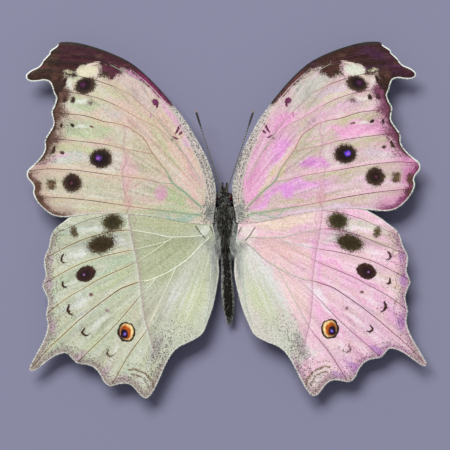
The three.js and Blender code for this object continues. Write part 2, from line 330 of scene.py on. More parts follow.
def camber(out, forward):
    """How far a wing's middle surface rises from the root, then droops towards its outer edge."""
    share = np.hypot(out, forward) / wing_reach
    return wing_rise * share - wing_droop * share * share


def forewing_surface(out, forward):
    """How high the middle surface of a forewing lies."""
    return forewing_height + camber(out, forward)


def hindwing_surface(out, forward):
    """How high the middle surface of a hindwing lies; it folds down beside the body."""
    near_body = np.clip(1 - out / 6, 0, 1)
    return hindwing_height + camber(out, forward) - fold_depth * near_body**2 * smooth(2, 9, -forward)


def set_right_forewing(out, forward):
    """The right forewing is a little lower all over, and its hind edge sags."""
    hind_share = np.clip(1 - forward / 12, 0, None)
    return out + 0.05, forward * (1 - 0.0015 * out) - 0.018 * out * hind_share**2


def set_right_hindwing(out, forward):
    """The right hindwing is turned back in front of its long tail, and its shoulder is tucked in."""
    from_root_out, from_root_forward = out - 2.2, forward + 2
    turned = 0.02 * smooth(-0.8, -0.6, np.arctan2(from_root_forward, from_root_out))
    shoulder = smooth(22, 33, out) * fade(2, 9, -forward)
    return out + 0.16 + turned * from_root_forward, forward - 0.5 - turned * from_root_out - 0.9 * shoulder


wing_kinds = {
    "forewing": (forewing_surface, set_right_forewing),
    "hindwing": (hindwing_surface, set_right_hindwing),
}


def pressed(kind, forward):
    """How far a dried wing is pressed up or down, so that the wings of a side lie close together."""
    if kind == "forewing":
        return -0.1 - 0.06 * fade(0, 4, forward)
    return 0.2 + 0.34 * smooth(-7, -2.4, forward)


def on_wing(kind, side, at, lift):
    """Places drawn on a left wing in millimetres, lifted off its middle surface, as points in metres."""
    surface, set_right = wing_kinds[kind]
    out, forward = np.asarray(at, float).T
    height = surface(out, forward) + lift
    if side == "right":
        out, forward = set_right(out, forward)
    return np.column_stack([(1 if side == "right" else -1) * (out + root_offset), forward, height]) * MM


# The ground colour of each wing face, and broad soft patches of pearly colour over it: where each lies
# (outwards, forwards), its half length and half width, how far its length turns from straight outwards, its
# colour, and how strongly it shows. These colours are partly the wings' own and partly a painted iridescent
# sheen: the right wings are painted pinker and the left wings greener, here and wherever the two sides
# differ in colour below, and some of the palest pink patches on the right hindwing are painted highlights.
grounds = {
    ("forewing", "left"): (214, 202, 176),
    ("forewing", "right"): (218, 190, 185),
    ("hindwing", "left"): (203, 211, 180),
    ("hindwing", "right"): (232, 190, 204),
}
patches = {
    ("forewing", "left"): [
        (9, 13.5, 11, 3.6, 58, (226, 192, 168), 0.85), (6.3, 9.5, 5, 0.9, 66, (232, 176, 186), 0.6),
        (16, 21.5, 8, 3.2, 42, (222, 192, 172), 0.8), (17, 25.6, 6.5, 1.6, 42, (215, 190, 184), 0.8),
        (21.5, 26.5, 4, 1.2, 22, (217, 197, 167), 0.7), (24, 25.4, 5.5, 1.1, 20, (204, 204, 160), 0.8),
        (27, 22.7, 5, 1.3, 10, (196, 212, 166), 0.9), (21, 20.8, 3.4, 1.0, 22, (206, 197, 190), 0.7),
        (27, 18, 6, 1.6, 6, (192, 208, 160), 0.9), (23, 18.9, 4.5, 0.6, 10, (217, 202, 158), 0.7),
        (28, 14.1, 6, 1.3, 5, (200, 208, 156), 0.9), (30, 12.2, 5, 1.2, 0, (207, 212, 205), 0.8),
        (21, 11.5, 1.9, 1.9, 0, (217, 210, 196), 0.8), (15.5, 12, 4.8, 3.4, 40, (206, 196, 162), 0.85),
        (11.8, 14.2, 9, 0.6, 57, (193, 198, 140), 0.7), (14.5, 5.8, 5, 1.2, 5, (215, 197, 178), 0.8),
        (10, 3.4, 4.5, 2.0, 25, (180, 200, 142), 0.9), (25, 2.7, 11, 1.1, 7, (212, 212, 166), 0.9),
        (14, 1.0, 6, 0.9, 6, (176, 200, 152), 0.85), (9, -0.2, 5, 0.7, 5, (158, 194, 168), 0.9),
        (27, 6.6, 8.5, 1.5, 5, (214, 205, 168), 0.8), (34, 3, 3.4, 1.3, 8, (212, 208, 168), 0.8),
        (37.4, 8.4, 1.6, 1.2, 70, (221, 195, 190), 0.8), (7.2, 16.2, 12, 0.7, 58, (226, 182, 212), 0.8),
        (15.4, 27.0, 5, 0.6, 42, (216, 120, 190), 0.85), (9.6, 20.2, 5, 0.6, 57, (234, 156, 206), 0.7),
        (18.9, 8.2, 1.1, 4.2, 0, (232, 176, 188), 0.7), (16.5, 17.5, 4, 0.8, 40, (232, 190, 178), 0.6),
        (7.0, 6.4, 4.2, 0.9, 62, (240, 184, 176), 0.7),
        (25, 4.8, 9.5, 2.4, 5, (198, 203, 174), 0.5), (30.5, 21, 3.2, 5, 10, (198, 205, 174), 0.4),
    ],
    ("forewing", "right"): [
        (8.7, 13, 10, 3.5, 60, (232, 168, 204), 0.9), (6.0, 6.2, 4.6, 2.0, 60, (240, 150, 206), 0.9),
        (12.6, 18.2, 3.8, 1.6, 42, (242, 158, 214), 0.9), (11.4, 12.6, 2.6, 1.9, 50, (240, 150, 228), 0.85),
        (17.5, 25.6, 6.5, 2.0, 42, (200, 202, 188), 0.9), (18, 22, 3.4, 1.3, 36, (198, 190, 168), 0.85),
        (17.5, 18.8, 4, 1.6, 36, (226, 181, 205), 0.8), (11.8, 10.6, 9.5, 0.7, 57, (223, 205, 150), 0.85),
        (16.6, 13.6, 4.4, 3.2, 55, (200, 189, 162), 0.9), (18.2, 9.8, 2.6, 0.9, 5, (238, 140, 232), 0.85),
        (15.5, 5.4, 5.6, 1.5, 6, (242, 160, 234), 0.9), (8.3, 3.2, 4.4, 1.2, 33, (240, 160, 230), 0.9),
        (16.5, 2.6, 5.5, 0.6, 9, (205, 189, 146), 0.85), (18, 0.7, 12, 0.8, 5, (238, 207, 230), 0.85),
        (8, 0.1, 3.8, 0.3, 4, (148, 178, 138), 0.8), (5, -1.0, 3.2, 0.6, 0, (200, 216, 192), 0.85),
        (27, 19.4, 6.5, 0.9, 7, (208, 199, 152), 0.85), (27.5, 17.3, 7, 1.1, 4, (250, 170, 220), 0.9),
        (27, 14.6, 7, 0.8, 5, (203, 196, 152), 0.85), (31, 11.7, 4.2, 1.1, 0, (221, 200, 211), 0.8),
        (24, 8.3, 5.5, 0.6, 6, (211, 199, 156), 0.85), (29, 5.9, 8.5, 0.9, 5, (239, 206, 219), 0.85),
        (34, 2.7, 4, 1.4, 10, (241, 178, 206), 0.8), (24, 3.0, 5.5, 0.8, 7, (222, 196, 177), 0.8),
        (37.0, 9.3, 3.2, 1.4, 60, (214, 120, 186), 0.85), (22.5, 24.9, 3.8, 0.8, 22, (212, 196, 206), 0.85),
        (23, 23.6, 3.2, 0.6, 20, (211, 210, 167), 0.85), (24, 21.6, 4, 0.9, 14, (229, 191, 209), 0.85),
        (19.5, 15.0, 2.6, 0.4, 8, (241, 190, 206), 0.7), (20.8, 11.5, 1.6, 1.6, 0, (226, 205, 205), 0.8),
    ],
    ("hindwing", "left"): [
        (11, -1.4, 9, 1.5, 3, (200, 202, 153), 0.9), (12.5, -6.8, 8, 2.8, -18, (180, 190, 143), 0.95),
        (13.5, -10, 5, 2.4, -25, (187, 195, 152), 0.9), (22, -4.6, 3, 1.1, 5, (222, 226, 216), 0.9),
        (27, -1.6, 5, 1.2, -8, (206, 213, 190), 0.8), (29, -2.6, 3.6, 0.3, -6, (190, 213, 203), 0.8),
        (29.5, -6.4, 4.5, 0.9, -22, (219, 225, 208), 0.8),
        (22.5, -9.3, 5.5, 1.0, -22, (181, 206, 167), 0.85),
        (23, -12.1, 5, 0.8, -26, (196, 211, 154), 0.8), (30, -16.3, 4.5, 0.8, -34, (222, 230, 222), 0.8),
        (27.4, -19.2, 5, 0.8, -42, (224, 230, 220), 0.8), (21.5, -18, 4, 1.8, -50, (202, 210, 172), 0.7),
        (26, -23.5, 4, 2.6, -45, (196, 209, 168), 0.7), (13.5, -18, 5.5, 2.6, -68, (197, 199, 174), 0.85),
        (7.6, -18.5, 5.4, 2.2, -62, (209, 219, 166), 0.85), (11, -24, 3.6, 1.8, -50, (212, 218, 186), 0.85),
        (8.3, -12.5, 8, 0.9, -58, (215, 220, 210), 0.85), (3.1, -12, 8, 0.6, -86, (208, 219, 208), 0.85),
        (4.3, -13, 6, 0.35, -83, (214, 220, 158), 0.7), (18.5, -27, 3, 1.4, -60, (216, 224, 200), 0.8),
        (5, -3.4, 2, 1.4, 0, (202, 211, 196), 0.8),
    ],
    ("hindwing", "right"): [
        (11, -0.9, 9, 1.2, 3, (232, 209, 183), 0.9), (12.5, -7, 8, 2.9, -22, (231, 189, 185), 0.9),
        (16, -4.3, 4, 0.9, 0, (230, 190, 190), 0.85), (27, -1.6, 6, 1.3, -8, (217, 217, 198), 0.9),
        (22.5, -4.5, 3.4, 1.0, 0, (216, 208, 204), 0.9), (30, -5.2, 4.5, 0.8, -22, (219, 206, 176), 0.8),
        (21.5, -8.2, 6.5, 1.0, -16, (243, 196, 216), 0.85), (30, -10.6, 5, 1.0, -26, (228, 207, 196), 0.8),
        (26, -12.8, 8, 0.8, -28, (243, 182, 207), 0.85), (30.5, -16.3, 5, 1.1, -34, (240, 203, 216), 0.85),
        (25, -17, 6, 1.2, -42, (236, 206, 226), 0.85), (18.8, -17, 4, 0.9, -50, (243, 233, 240), 0.85),
        (21, -27, 5, 2.0, -45, (233, 208, 208), 0.8), (30, -24, 4, 2, -42, (228, 190, 214), 0.8),
        (13, -16.5, 8, 1.8, -63, (236, 205, 199), 0.9), (8.6, -13.5, 10, 1.4, -62, (222, 224, 219), 0.95),
        (6.4, -16.5, 5.5, 1.6, -68, (214, 221, 172), 0.9), (3, -11, 8, 1.0, -85, (204, 219, 201), 0.9),
        (11, -26, 4.4, 2.0, -50, (214, 217, 200), 0.9), (16.5, -27.5, 2, 1.6, -60, (222, 220, 214), 0.8),
        # The second patch on this line, pale pink, is a painted highlight.
        (5, -3.4, 1.6, 1.2, 0, (235, 222, 215), 0.8), (15.5, -6.4, 3.2, 0.5, -14, (248, 226, 240), 0.8),
        (27.5, -14.0, 6, 0.9, -30, (228, 152, 206), 0.6), (33, -19, 3.5, 1.6, -60, (214, 148, 204), 0.6),
        (27, -25.8, 5, 1.3, -35, (216, 148, 204), 0.6), (22.5, -30, 3.5, 1.5, -40, (204, 138, 188), 0.55),
        (24, -10.6, 6, 0.5, -25, (240, 146, 212), 0.6), (18.6, -9, 0.9, 4.5, 5, (236, 150, 222), 0.5),
    ],
}

# Dark and bright marks on the wings: where each lies, its half length and half width, its turn, its
# colour and how soft its rim is. Later ones lie over earlier ones.
brown, black_brown, plum = (44, 26, 22), (22, 12, 12), (96, 40, 74)
marks = {
    "forewing": [
        (24.2, 11.95, 2.1, 1.88, 0, (66, 50, 36), 0.75), (24.3, 11.95, 1.7, 1.45, 0, black_brown, 0.6),
        (24.75, 12.1, 0.55, 0.42, 60, "violet", 0.8), (24.6, 12.0, 0.5, 0.3, 150, "violet", 0.8),
        (24.85, 11.95, 0.16, 0.16, 0, (186, 110, 190), 0.8),
        (30.1, 7.25, 1.8, 1.78, 0, (66, 50, 36), 0.75), (30.1, 7.3, 1.25, 1.25, 0, (34, 20, 18), 0.7),
        (30.2, 7.3, 0.3, 0.25, 0, (88, 40, 56), 0.8),
        (26.9, 26.6, 2.05, 1.55, -18, (62, 46, 34), 0.8), (27.1, 26.7, 1.4, 1.1, -18, (28, 14, 20), 0.6),
        (27.4, 26.8, 0.5, 0.42, 0, (78, 30, 70), 0.9), (31, 27.6, 0.34, 0.75, 20, brown, 1.0),
        (32.3, 27.9, 0.28, 0.6, 20, brown, 1.0), (29.4, 23.8, 0.42, 0.62, 10, brown, 1.15),
        (31.1, 23.9, 0.36, 0.7, 0, brown, 1.15), (26, 23.1, 0.75, 0.55, 0, (104, 84, 86), 1.4),
        (29.8, 18.8, 0.42, 0.32, 30, brown, 1.1), (31.9, 18.8, 0.25, 0.45, 0, brown, 1.2),
        (25.8, 18.4, 0.55, 0.16, 12, (104, 70, 58), 1.1), (32, 13.3, 0.55, 0.36, 30, (70, 48, 40), 1.1),
        (33.7, 13.9, 0.3, 0.8, 20, (62, 40, 36), 1.1), (34.3, 7.5, 1.0, 0.6, 0, (88, 70, 50), 1.2),
        (34.2, 6.5, 0.9, 0.6, 0, (88, 70, 50), 1.2), (37.2, 6.6, 0.7, 1.0, 10, (78, 56, 40), 1.1),
        (37.0, 3.9, 0.8, 0.9, 0, (74, 52, 38), 1.1),
        (13.1, 22.9, 0.7, 0.6, 30, plum, 0.9), (12.8, 22.1, 0.22, 0.5, 0, plum, 1.0),
        (14.1, 20.3, 0.13, 0.7, 12, (170, 116, 140), 1.2), (8.7, 17.3, 0.24, 1.05, 32, plum, 0.8),
        (8.1, 16.6, 0.5, 0.2, -24, plum, 0.9), (9.2, 15.7, 0.75, 0.14, 24, plum, 1.0),
        (9.9, 15.2, 0.3, 0.12, 0, plum, 1.2),
    ],
    "hindwing": [
        (22.2, -0.9, 2.15, 1.8, 0, (66, 58, 32), 1.2), (22.3, -0.9, 1.3, 1.0, 0, (46, 42, 24), 0.9),
        (24.6, -5.2, 2.7, 1.8, -12, (66, 54, 34), 1.1), (24.6, -5.2, 1.8, 1.0, -12, (48, 40, 24), 0.9),
        (27.9, -11.0, 2.0, 1.5, -27, (54, 33, 25), 0.4), (28.1, -11.15, 1.2, 0.85, -27, (32, 16, 22), 0.9),
        (28.3, -11.2, 0.2, 0.16, 0, (150, 96, 160), 0.6), (30.1, -2.5, 0.75, 1.15, -15, (84, 74, 52), 1.2),
        (27, -15.2, 0.42, 0.32, 0, (104, 66, 70), 1.3), (23.8, -18.6, 0.5, 0.32, 40, (146, 106, 120), 1.3),
        (20.1, -22.9, 2.0, 1.75, 80, (34, 24, 20), 0.15),
        (20.1, -22.85, 1.62, 1.36, 80, (238, 202, 140), 0.12),
        (20.3, -22.95, 1.4, 1.12, 80, (168, 78, 14), 0.15),
        (20.55, -23.25, 0.98, 0.82, 80, (16, 6, 28), 0.3),
        (20.4, -23.3, 0.3, 0.24, 80, (120, 92, 196), 0.6),
    ],
}
# The violet of the eye spot centres, brighter and bluer on the right as painted sheen.
violet = {"left": (84, 50, 132), "right": (104, 66, 214)}

# The dark wing tip and outer border of the forewing, as the outline of its inner edge, carried on past
# the wing's own edge, with the two pale windows that are left in it.
dark_tip = [(9.8, 22.1), (12.1, 24.3), (14.4, 26.5), (16.5, 28.3), (18.3, 29.6), (20.2, 30.5),
            (22.4, 31.0), (25, 30.9), (28.0, 30.7), (28.6, 29.3), (29.6, 28.5), (31.2, 28.9), (31.3, 26.6),
            (31.9, 24.6), (33.0, 24.0), (41, 24), (41, 40), (8.0, 40), (9.4, 22.3)]
dark_block = [(23.6, 31.2), (23.7, 29.3), (24.0, 28.6), (22.5, 28.1), (20.8, 27.9), (19.8, 28.6),
              (19.2, 29.2), (19.9, 30.6)]
tip_window = (26.4, 29.5, 2.15, 1.35, -6)
small_window = (30.4, 29.55, 1.15, 0.65, -8)

# The front edge of the forewing, which carries a strip of mixed grey and dark scales.
front_edge = [(1.95, 0.2), (1.6, 2.4), (1.5, 4.6), (1.75, 7), (2.95, 11.1), (4.8, 14.8), (7.5, 19.5),
              (10.7, 23.8), (14.1, 27.7), (17.7, 30.9), (21.9, 33.1), (26, 34.5), (30, 35.2), (33.2, 35.6)]

# The thin line across both wings, from the front edge of the forewing to the lower tail.
cross_lines = {
    "forewing": [(19.7, 18.6), (19.4, 16.6), (19.7, 14.3), (19.2, 12.5), (19.05, 11.1), (19.85, 9.55),
                 (19.85, 6.6), (19.5, 4.5), (19.1, 2.5), (19.2, 0.5)],
    "hindwing": [(19.2, 1.2), (18.7, -2.5), (18.1, -5.9), (17.7, -8), (17.4, -10), (17.1, -12.6),
                 (16.8, -16), (16.5, -19), (16.2, -21), (15.3, -24.4), (14.6, -27.2)],
}
# The cross line is grey-brown on the left and painted pinker on the right, as painted sheen.
cross_colours = {"left": (164, 138, 136), "right": (196, 138, 166)}


def ellipse(at, out, forward, long, short, turn):
    """How many times further than its rim each place is from an ellipse's centre."""
    angle = math.radians(turn)
    offset_out, offset_forward = at[:, 0] - out, at[:, 1] - forward
    along = offset_out * math.cos(angle) + offset_forward * math.sin(angle)
    across = offset_forward * math.cos(angle) - offset_out * math.sin(angle)
    return np.hypot(along / long, across / short)


def drift(places, seed):
    """A random value from 0 to 1 that changes smoothly over about one unit."""
    cell = np.floor(places).astype(int)
    share = places - cell
    share = share * share * (3 - 2 * share)
    table = np.random.default_rng(seed).random((256, 256))
    near, far = (table[(cell[:, 0] + step) % 256] for step in (0, 1))
    rows = np.arange(len(cell))
    ends = [(1 - share[:, 0]) * near[rows, (cell[:, 1] + step) % 256]
            + share[:, 0] * far[rows, (cell[:, 1] + step) % 256] for step in (0, 1)]
    return ends[0] + share[:, 1] * (ends[1] - ends[0])


def wander(at, amount, size, seed):
    """Places moved about a little, so that what is drawn there gets an uneven outline."""
    return at + amount * (np.column_stack([drift(at / size, seed), drift(at / size, seed + 1)]) - 0.5)


def lay(colours, cover, colour):
    """Lays a colour over others, as thickly as the cover says."""
    colours += np.asarray(cover)[:, None] * (linear(colour) - colours)


def stripe(line, half_width, soft, offset=0.0, start=0.0, end=1.0):
    """A soft band beside a line, whose offset counts to the left of the line's own direction."""
    distance, side, along = line
    band = fade(half_width, half_width + soft, np.abs(distance * side - offset))
    return band * smooth(start - 0.04, start + 0.04, along) * fade(end - 0.04, end + 0.04, along)


def patch_of(at, outline, soft):
    """1 well inside an outline and 0 well outside it."""
    corners = np.asarray(outline, float)
    distance, _, _ = nearest(at, corners, np.roll(corners, -1, axis=0), reach=3)
    return smooth(-soft, soft, np.where(inside(at, outline), distance, -distance))


class Paint:
    """The colours of one face of a wing: the ground, and dark scales that lie over it."""

    def __init__(self, count, colour):
        """A ground of one colour, with no dark scales yet."""
        self.ground = np.tile(linear(colour), (count, 1))
        self.mark = np.tile(linear(brown), (count, 1))
        self.cover = np.zeros(count)
        self.dust = np.zeros(count)

    def cover_with(self, cover, colours):
        """Dark scales whose colours, in linear light, differ from place to place."""
        total = cover + self.cover * (1 - cover)
        self.mark += (cover / np.maximum(total, 1e-6))[:, None] * (colours - self.mark)
        self.cover = total

    def dot(self, cover, colour):
        """Dark scales of one colour."""
        self.cover_with(cover, linear(colour))

    def clear(self, cover):
        """Takes dark scales off again."""
        self.cover *= 1 - cover

    def tint(self, cover, colour):
        """A colour laid over the ground."""
        lay(self.ground, cover, colour)

    def strew(self, share):
        """Single dark scales strewn about, where there are not yet as many."""
        self.dust = np.maximum(self.dust, share)


# The shimmer of the scales, painted into their colour as a painted iridescent sheen: streaks that run out
# from the root and turn pink, green or silvery, and clouds of the same colours, in fixed colours for each
# wing face, as the scales of each wing lean a little differently towards the light.
shimmer_roots = {"forewing": (0.5, -0.5), "hindwing": (1.5, -2.0)}
painted_sheen_colours = {
    ("forewing", "left"): ((236, 180, 182), (184, 206, 158), (230, 232, 222)),
    ("forewing", "right"): ((240, 164, 218), (206, 204, 160), (244, 226, 236)),
    ("hindwing", "left"): ((214, 206, 172), (178, 204, 158), (230, 235, 226)),
    ("hindwing", "right"): ((242, 160, 216), (220, 206, 168), (248, 230, 240)),
}
# How bright each wing face is painted all over, as painted sheen: brightest on the right hindwing, darkest
# on the left hindwing.
painted_sheen_brightness = {
    ("forewing", "left"): 0.96,
    ("forewing", "right"): 0.99,
    ("hindwing", "left"): 0.91,
    ("hindwing", "right"): 1.1,
}


def painted_sheen(paint, at, kind, side):
    """Broad streaks and clouds of painted sheen, laid on before the patches."""
    out, forward = (at - shimmer_roots[kind]).T
    pink, green, _ = painted_sheen_colours[kind, side]
    streak = drift(np.column_stack([np.arctan2(forward, out) * 16, np.hypot(out, forward) / 9]), 11)
    cloud = drift(at / 3.1, 14) * 0.6 + drift(at / 1.3, 15) * 0.4
    for value, colour in ((streak, pink), (1 - streak, green)):
        paint.tint(0.35 * smooth(0.5, 0.95, value), colour)
    for value, colour in ((cloud, pink), (1 - cloud, green)):
        paint.tint(0.25 * smooth(0.5, 0.8, value), colour)


def threads(paint, at, kind, side):
    """Fine silvery threads, which are painted glints, and darker threads, laid on over the patches; then
    each wing face is made brighter or darker all over as painted sheen.
    """
    out, forward = (at - shimmer_roots[kind]).T
    angle, reach = np.arctan2(forward, out), np.hypot(out, forward)
    strand = drift(np.column_stack([angle * 46 + 0.05 * reach, reach / 5]), 12)
    pink, _, silver = painted_sheen_colours[kind, side]
    thread = drift(np.column_stack([angle * 110, reach / 3.2]), 13)
    speckle = drift(at / 0.42, 16)
    paint.tint(0.4 * smooth(0.6, 0.95, strand), silver)
    paint.tint(0.3 * smooth(0.62, 0.95, thread), silver)
    paint.tint(0.25 * smooth(0.6, 0.9, speckle), pink)
    shade = 0.2 * smooth(0.55, 0.98, 1 - strand)
    shade += 0.12 * smooth(0.6, 0.98, 1 - thread)
    shade += 0.1 * smooth(0.6, 0.9, 1 - speckle)
    # Painted sheen: each wing face brightened or darkened all over, and darker along the dark threads.
    paint.ground *= (painted_sheen_brightness[kind, side] - shade)[:, None]
    np.clip(paint.ground, 0, 0.95, out=paint.ground)


def paint_forewing(paint, at, rim, lines, side):
    """A forewing's pattern: tinted veins, pale bars, the cross line, the front strip and the dark tip."""
    out, forward = at.T
    left = side == "left"
    warm, cool = ((219, 190, 160), (190, 205, 168)) if left else ((244, 186, 212), (206, 197, 156))
    for name, strength in (("media_2", 0.45), ("media_3", 0.5), ("cubitus_1", 0.5), ("cubitus_2", 0.6),
                           ("anal", 0.55)):
        paint.tint(0.6 * strength * stripe(lines[name], 0.2, 0.6, -0.5, 0.2), warm if left else cool)
        paint.tint(0.8 * strength * stripe(lines[name], 0.1, 0.45, 0.3, 0.2), warm)
    paint.tint(0.8 * stripe(lines["media_3"], 0.16, 0.12, 0.0, 0.0, 0.3), (140, 176, 140))
    paint.tint(0.7 * stripe(lines["anal"], 0.18, 0.15, -0.1, 0.0, 0.35), (150, 180, 138))
    pale_bars = ((27.9, 23.5, 1.6, 0.5, 0), (27.8, 18.45, 1.8, 0.32, 0), (30.2, 26.4, 0.7, 1.5, 5))
    for out_at, forward_at, long, short, turn in pale_bars:
        bar = ellipse(wander(at, 0.5, 0.5, 67), out_at, forward_at, long, 1.15 * short, turn)
        paint.tint(0.85 * fade(0.3, 1.4, bar), (232, 238, 226) if left else (236, 230, 222))
    pink_streak = near_line(at, [(31, 12.9), (33, 12.6), (35.5, 11.5), (37.4, 10.6)])
    paint.tint(0.8 * stripe(pink_streak, 0.12, 0.3), (232, 180, 214))
    disc = fade(0.55, 1.2, ellipse(at, 12.45, 4.65, 1.55, 1.65, 20)) * (0.6 + 0.4 * drift(at / 0.3, 63))
    paint.tint(disc, (214, 144, 182) if left else (230, 138, 230))

    # The cross line, with a brownish blot and a short side line at its lower end.
    cross = near_line(wander(at, 0.4, 0.8, 65), cross_lines["forewing"])
    paint.tint(0.25 * fade(0.2, 1.6, cross[0]) * (cross[1] < 0), (222, 190, 190))
    paint.tint(0.65 * stripe(cross, 0.05, 0.13), cross_colours[side])
    blob = np.minimum(ellipse(at, 19.1, 3.2, 1.2, 1.6, 0), ellipse(at, 19.3, 5.6, 0.6, 1.6, 10))
    paint.tint(0.55 * fade(0.5, 1.2, blob), (206, 150, 138) if left else (214, 146, 166))
    side_line = near_line(at, [(16.2, 7.3), (17.0, 6.5), (18.4, 6.0)])
    paint.tint(0.6 * stripe(side_line, 0.06, 0.2), (196, 146, 150))

    # The grey strip along the front edge and the dusty root.
    front_gap = near_line(at, front_edge)[0]
    costal = smooth(-0.2, 0.4, 2.0 - 1.1 * smooth(8, 24, forward) - front_gap) * fade(22, 28, forward)
    paint.tint(0.9 * costal, (198, 194, 188))
    paint.strew(0.42 * costal * (1 - 0.5 * smooth(12, 22, forward)))
    paint.tint(0.8 * fade(0.3, 1.1, ellipse(at, 3.0, 1.2, 1.6, 3.2, 12)), (196, 194, 180))
    paint.strew(0.35 * fade(0.6, 1.2, ellipse(at, 3.0, 1.2, 1.6, 3.4, 12)))

    # The dark tip, the ragged outer border, the dark block inside the tip and the two windows.
    tip = patch_of(wander(wander(at, 0.7, 1.1, 25), 0.3, 0.25, 81), dark_tip, 0.9)
    vein_gap = np.min([line[0] for line in lines.values()], axis=0)
    mauve = 0.75 * fade(0.3, 4.2, rim) * smooth(28, 32, out)
    paint.tint(mauve, (172, 134, 118) if left else (196, 104, 158))
    ragged_width = 1.5 + 2.8 * np.exp(-(vein_gap**2)) + 2.2 * smooth(22, 25, forward)
    ragged_width += 1.2 * (drift(at / 0.8, 29) - 0.5)
    border = fade(0.0, 1.25 * ragged_width, rim) * smooth(28, 31, out)
    border *= smooth(10.4, 12.5, forward) * fade(26, 28, forward)
    strand = drift(np.column_stack([forward * 1.7, out / 6]), 21)
    colours = np.tile(linear((44, 27, 20)), (len(at), 1))
    lay(colours, smooth(29.6, 32, forward) * fade(30, 34, out), (56, 24, 34) if left else (52, 28, 26))
    lay(colours, fade(27, 31, forward) * (out < 22), (112, 34, 78) if left else (84, 44, 48))
    lay(colours, 0.9 * smooth(32, 34, out) * smooth(27, 30, forward),
        (50, 38, 24) if left else (58, 26, 42))
    lay(colours, 0.6 * smooth(0.5, 0.85, strand) * smooth(28, 31, forward),
        (92, 50, 56) if left else (84, 46, 76))
    lay(colours, 0.7 * smooth(0.55, 0.85, drift(at / (2.2, 1.2), 22)) * smooth(26, 29, forward),
        (80, 54, 44))
    if not left:
        lay(colours, 0.5 * fade(0.3, 1.3, ellipse(at, 30.6, 33.0, 3.6, 1.2, -22)), (72, 34, 72))
    lay(colours, 0.9 * stripe(near_line(at, front_edge), 0.15, 0.35), (36, 40, 32))
    lay(colours, smooth(0.0, 0.3, border - tip) * smooth(0.1, 1.0, rim),
        (88, 64, 54) if left else (108, 60, 82))
    paint.cover_with(np.maximum(tip, 0.86 * border), colours)
    paint.ground *= (1 - 0.5 * tip)[:, None]
    paint.tint(0.6 * border * (1 - tip), (150, 118, 104) if left else (178, 110, 140))
    block = 0.9 * patch_of(wander(wander(at, 1.0, 0.9, 23), 0.35, 0.25, 79), dark_block, 1.2)
    paint.dot(block, (78, 36, 52) if left else (66, 40, 34))
    lay(paint.mark, 0.7 * fade(0.3, 1.3, ellipse(at, 23.2, 28.6, 1.6, 0.8, 0)), (58, 46, 26))
    for name in ("radial", "radial_tip", "media_1", "media_2"):
        paint.dot(0.9 * tip * stripe(lines[name], 0.1, 0.15), (24, 12, 12))
    ragged = wander(wander(at, 0.5, 0.9, 27), 0.35, 0.25, 75)
    window = fade(0.65, 1.2, ellipse(ragged, *tip_window))
    paint.clear(window)
    paint.tint(window, (226, 220, 186) if left else (222, 226, 206))
    ragged = wander(wander(at, 0.6, 0.7, 45), 0.4, 0.25, 77)
    second = 0.8 * fade(0.2, 1.6, ellipse(ragged, *small_window))
    paint.clear(0.85 * second)
    paint.tint(second, (206, 206, 160))
    ray = fade(0.7, 1.2, ellipse(at, 25.2, 31.0, 1.5, 0.3, -12))
    paint.clear(ray)
    paint.tint(ray, (226, 206, 190))
    lower_edge = fade(0.1, 2.5 + 1.2 * np.exp(-(vein_gap**2)), rim + 0.6 * drift(at / 0.9, 59))
    lower_edge = lower_edge * smooth(28, 33, out) * fade(9.0, 10.5, forward)
    paint.dot(0.85 * lower_edge, (92, 68, 58) if left else (118, 58, 92))
    inner_border = fade(1.0, 4.0, rim) * smooth(28, 31, out) * (forward > 11) * (forward < 27)
    paint.strew(0.35 * inner_border)


# The fold of the hindwing beside the body, pale on both sides.
fold_line = [(3.0, -4.6), (4.95, -7.2), (7.6, -11.6), (10.3, -16.3), (12.9, -20.8), (14.8, -24.4),
             (15.6, -27.5)]


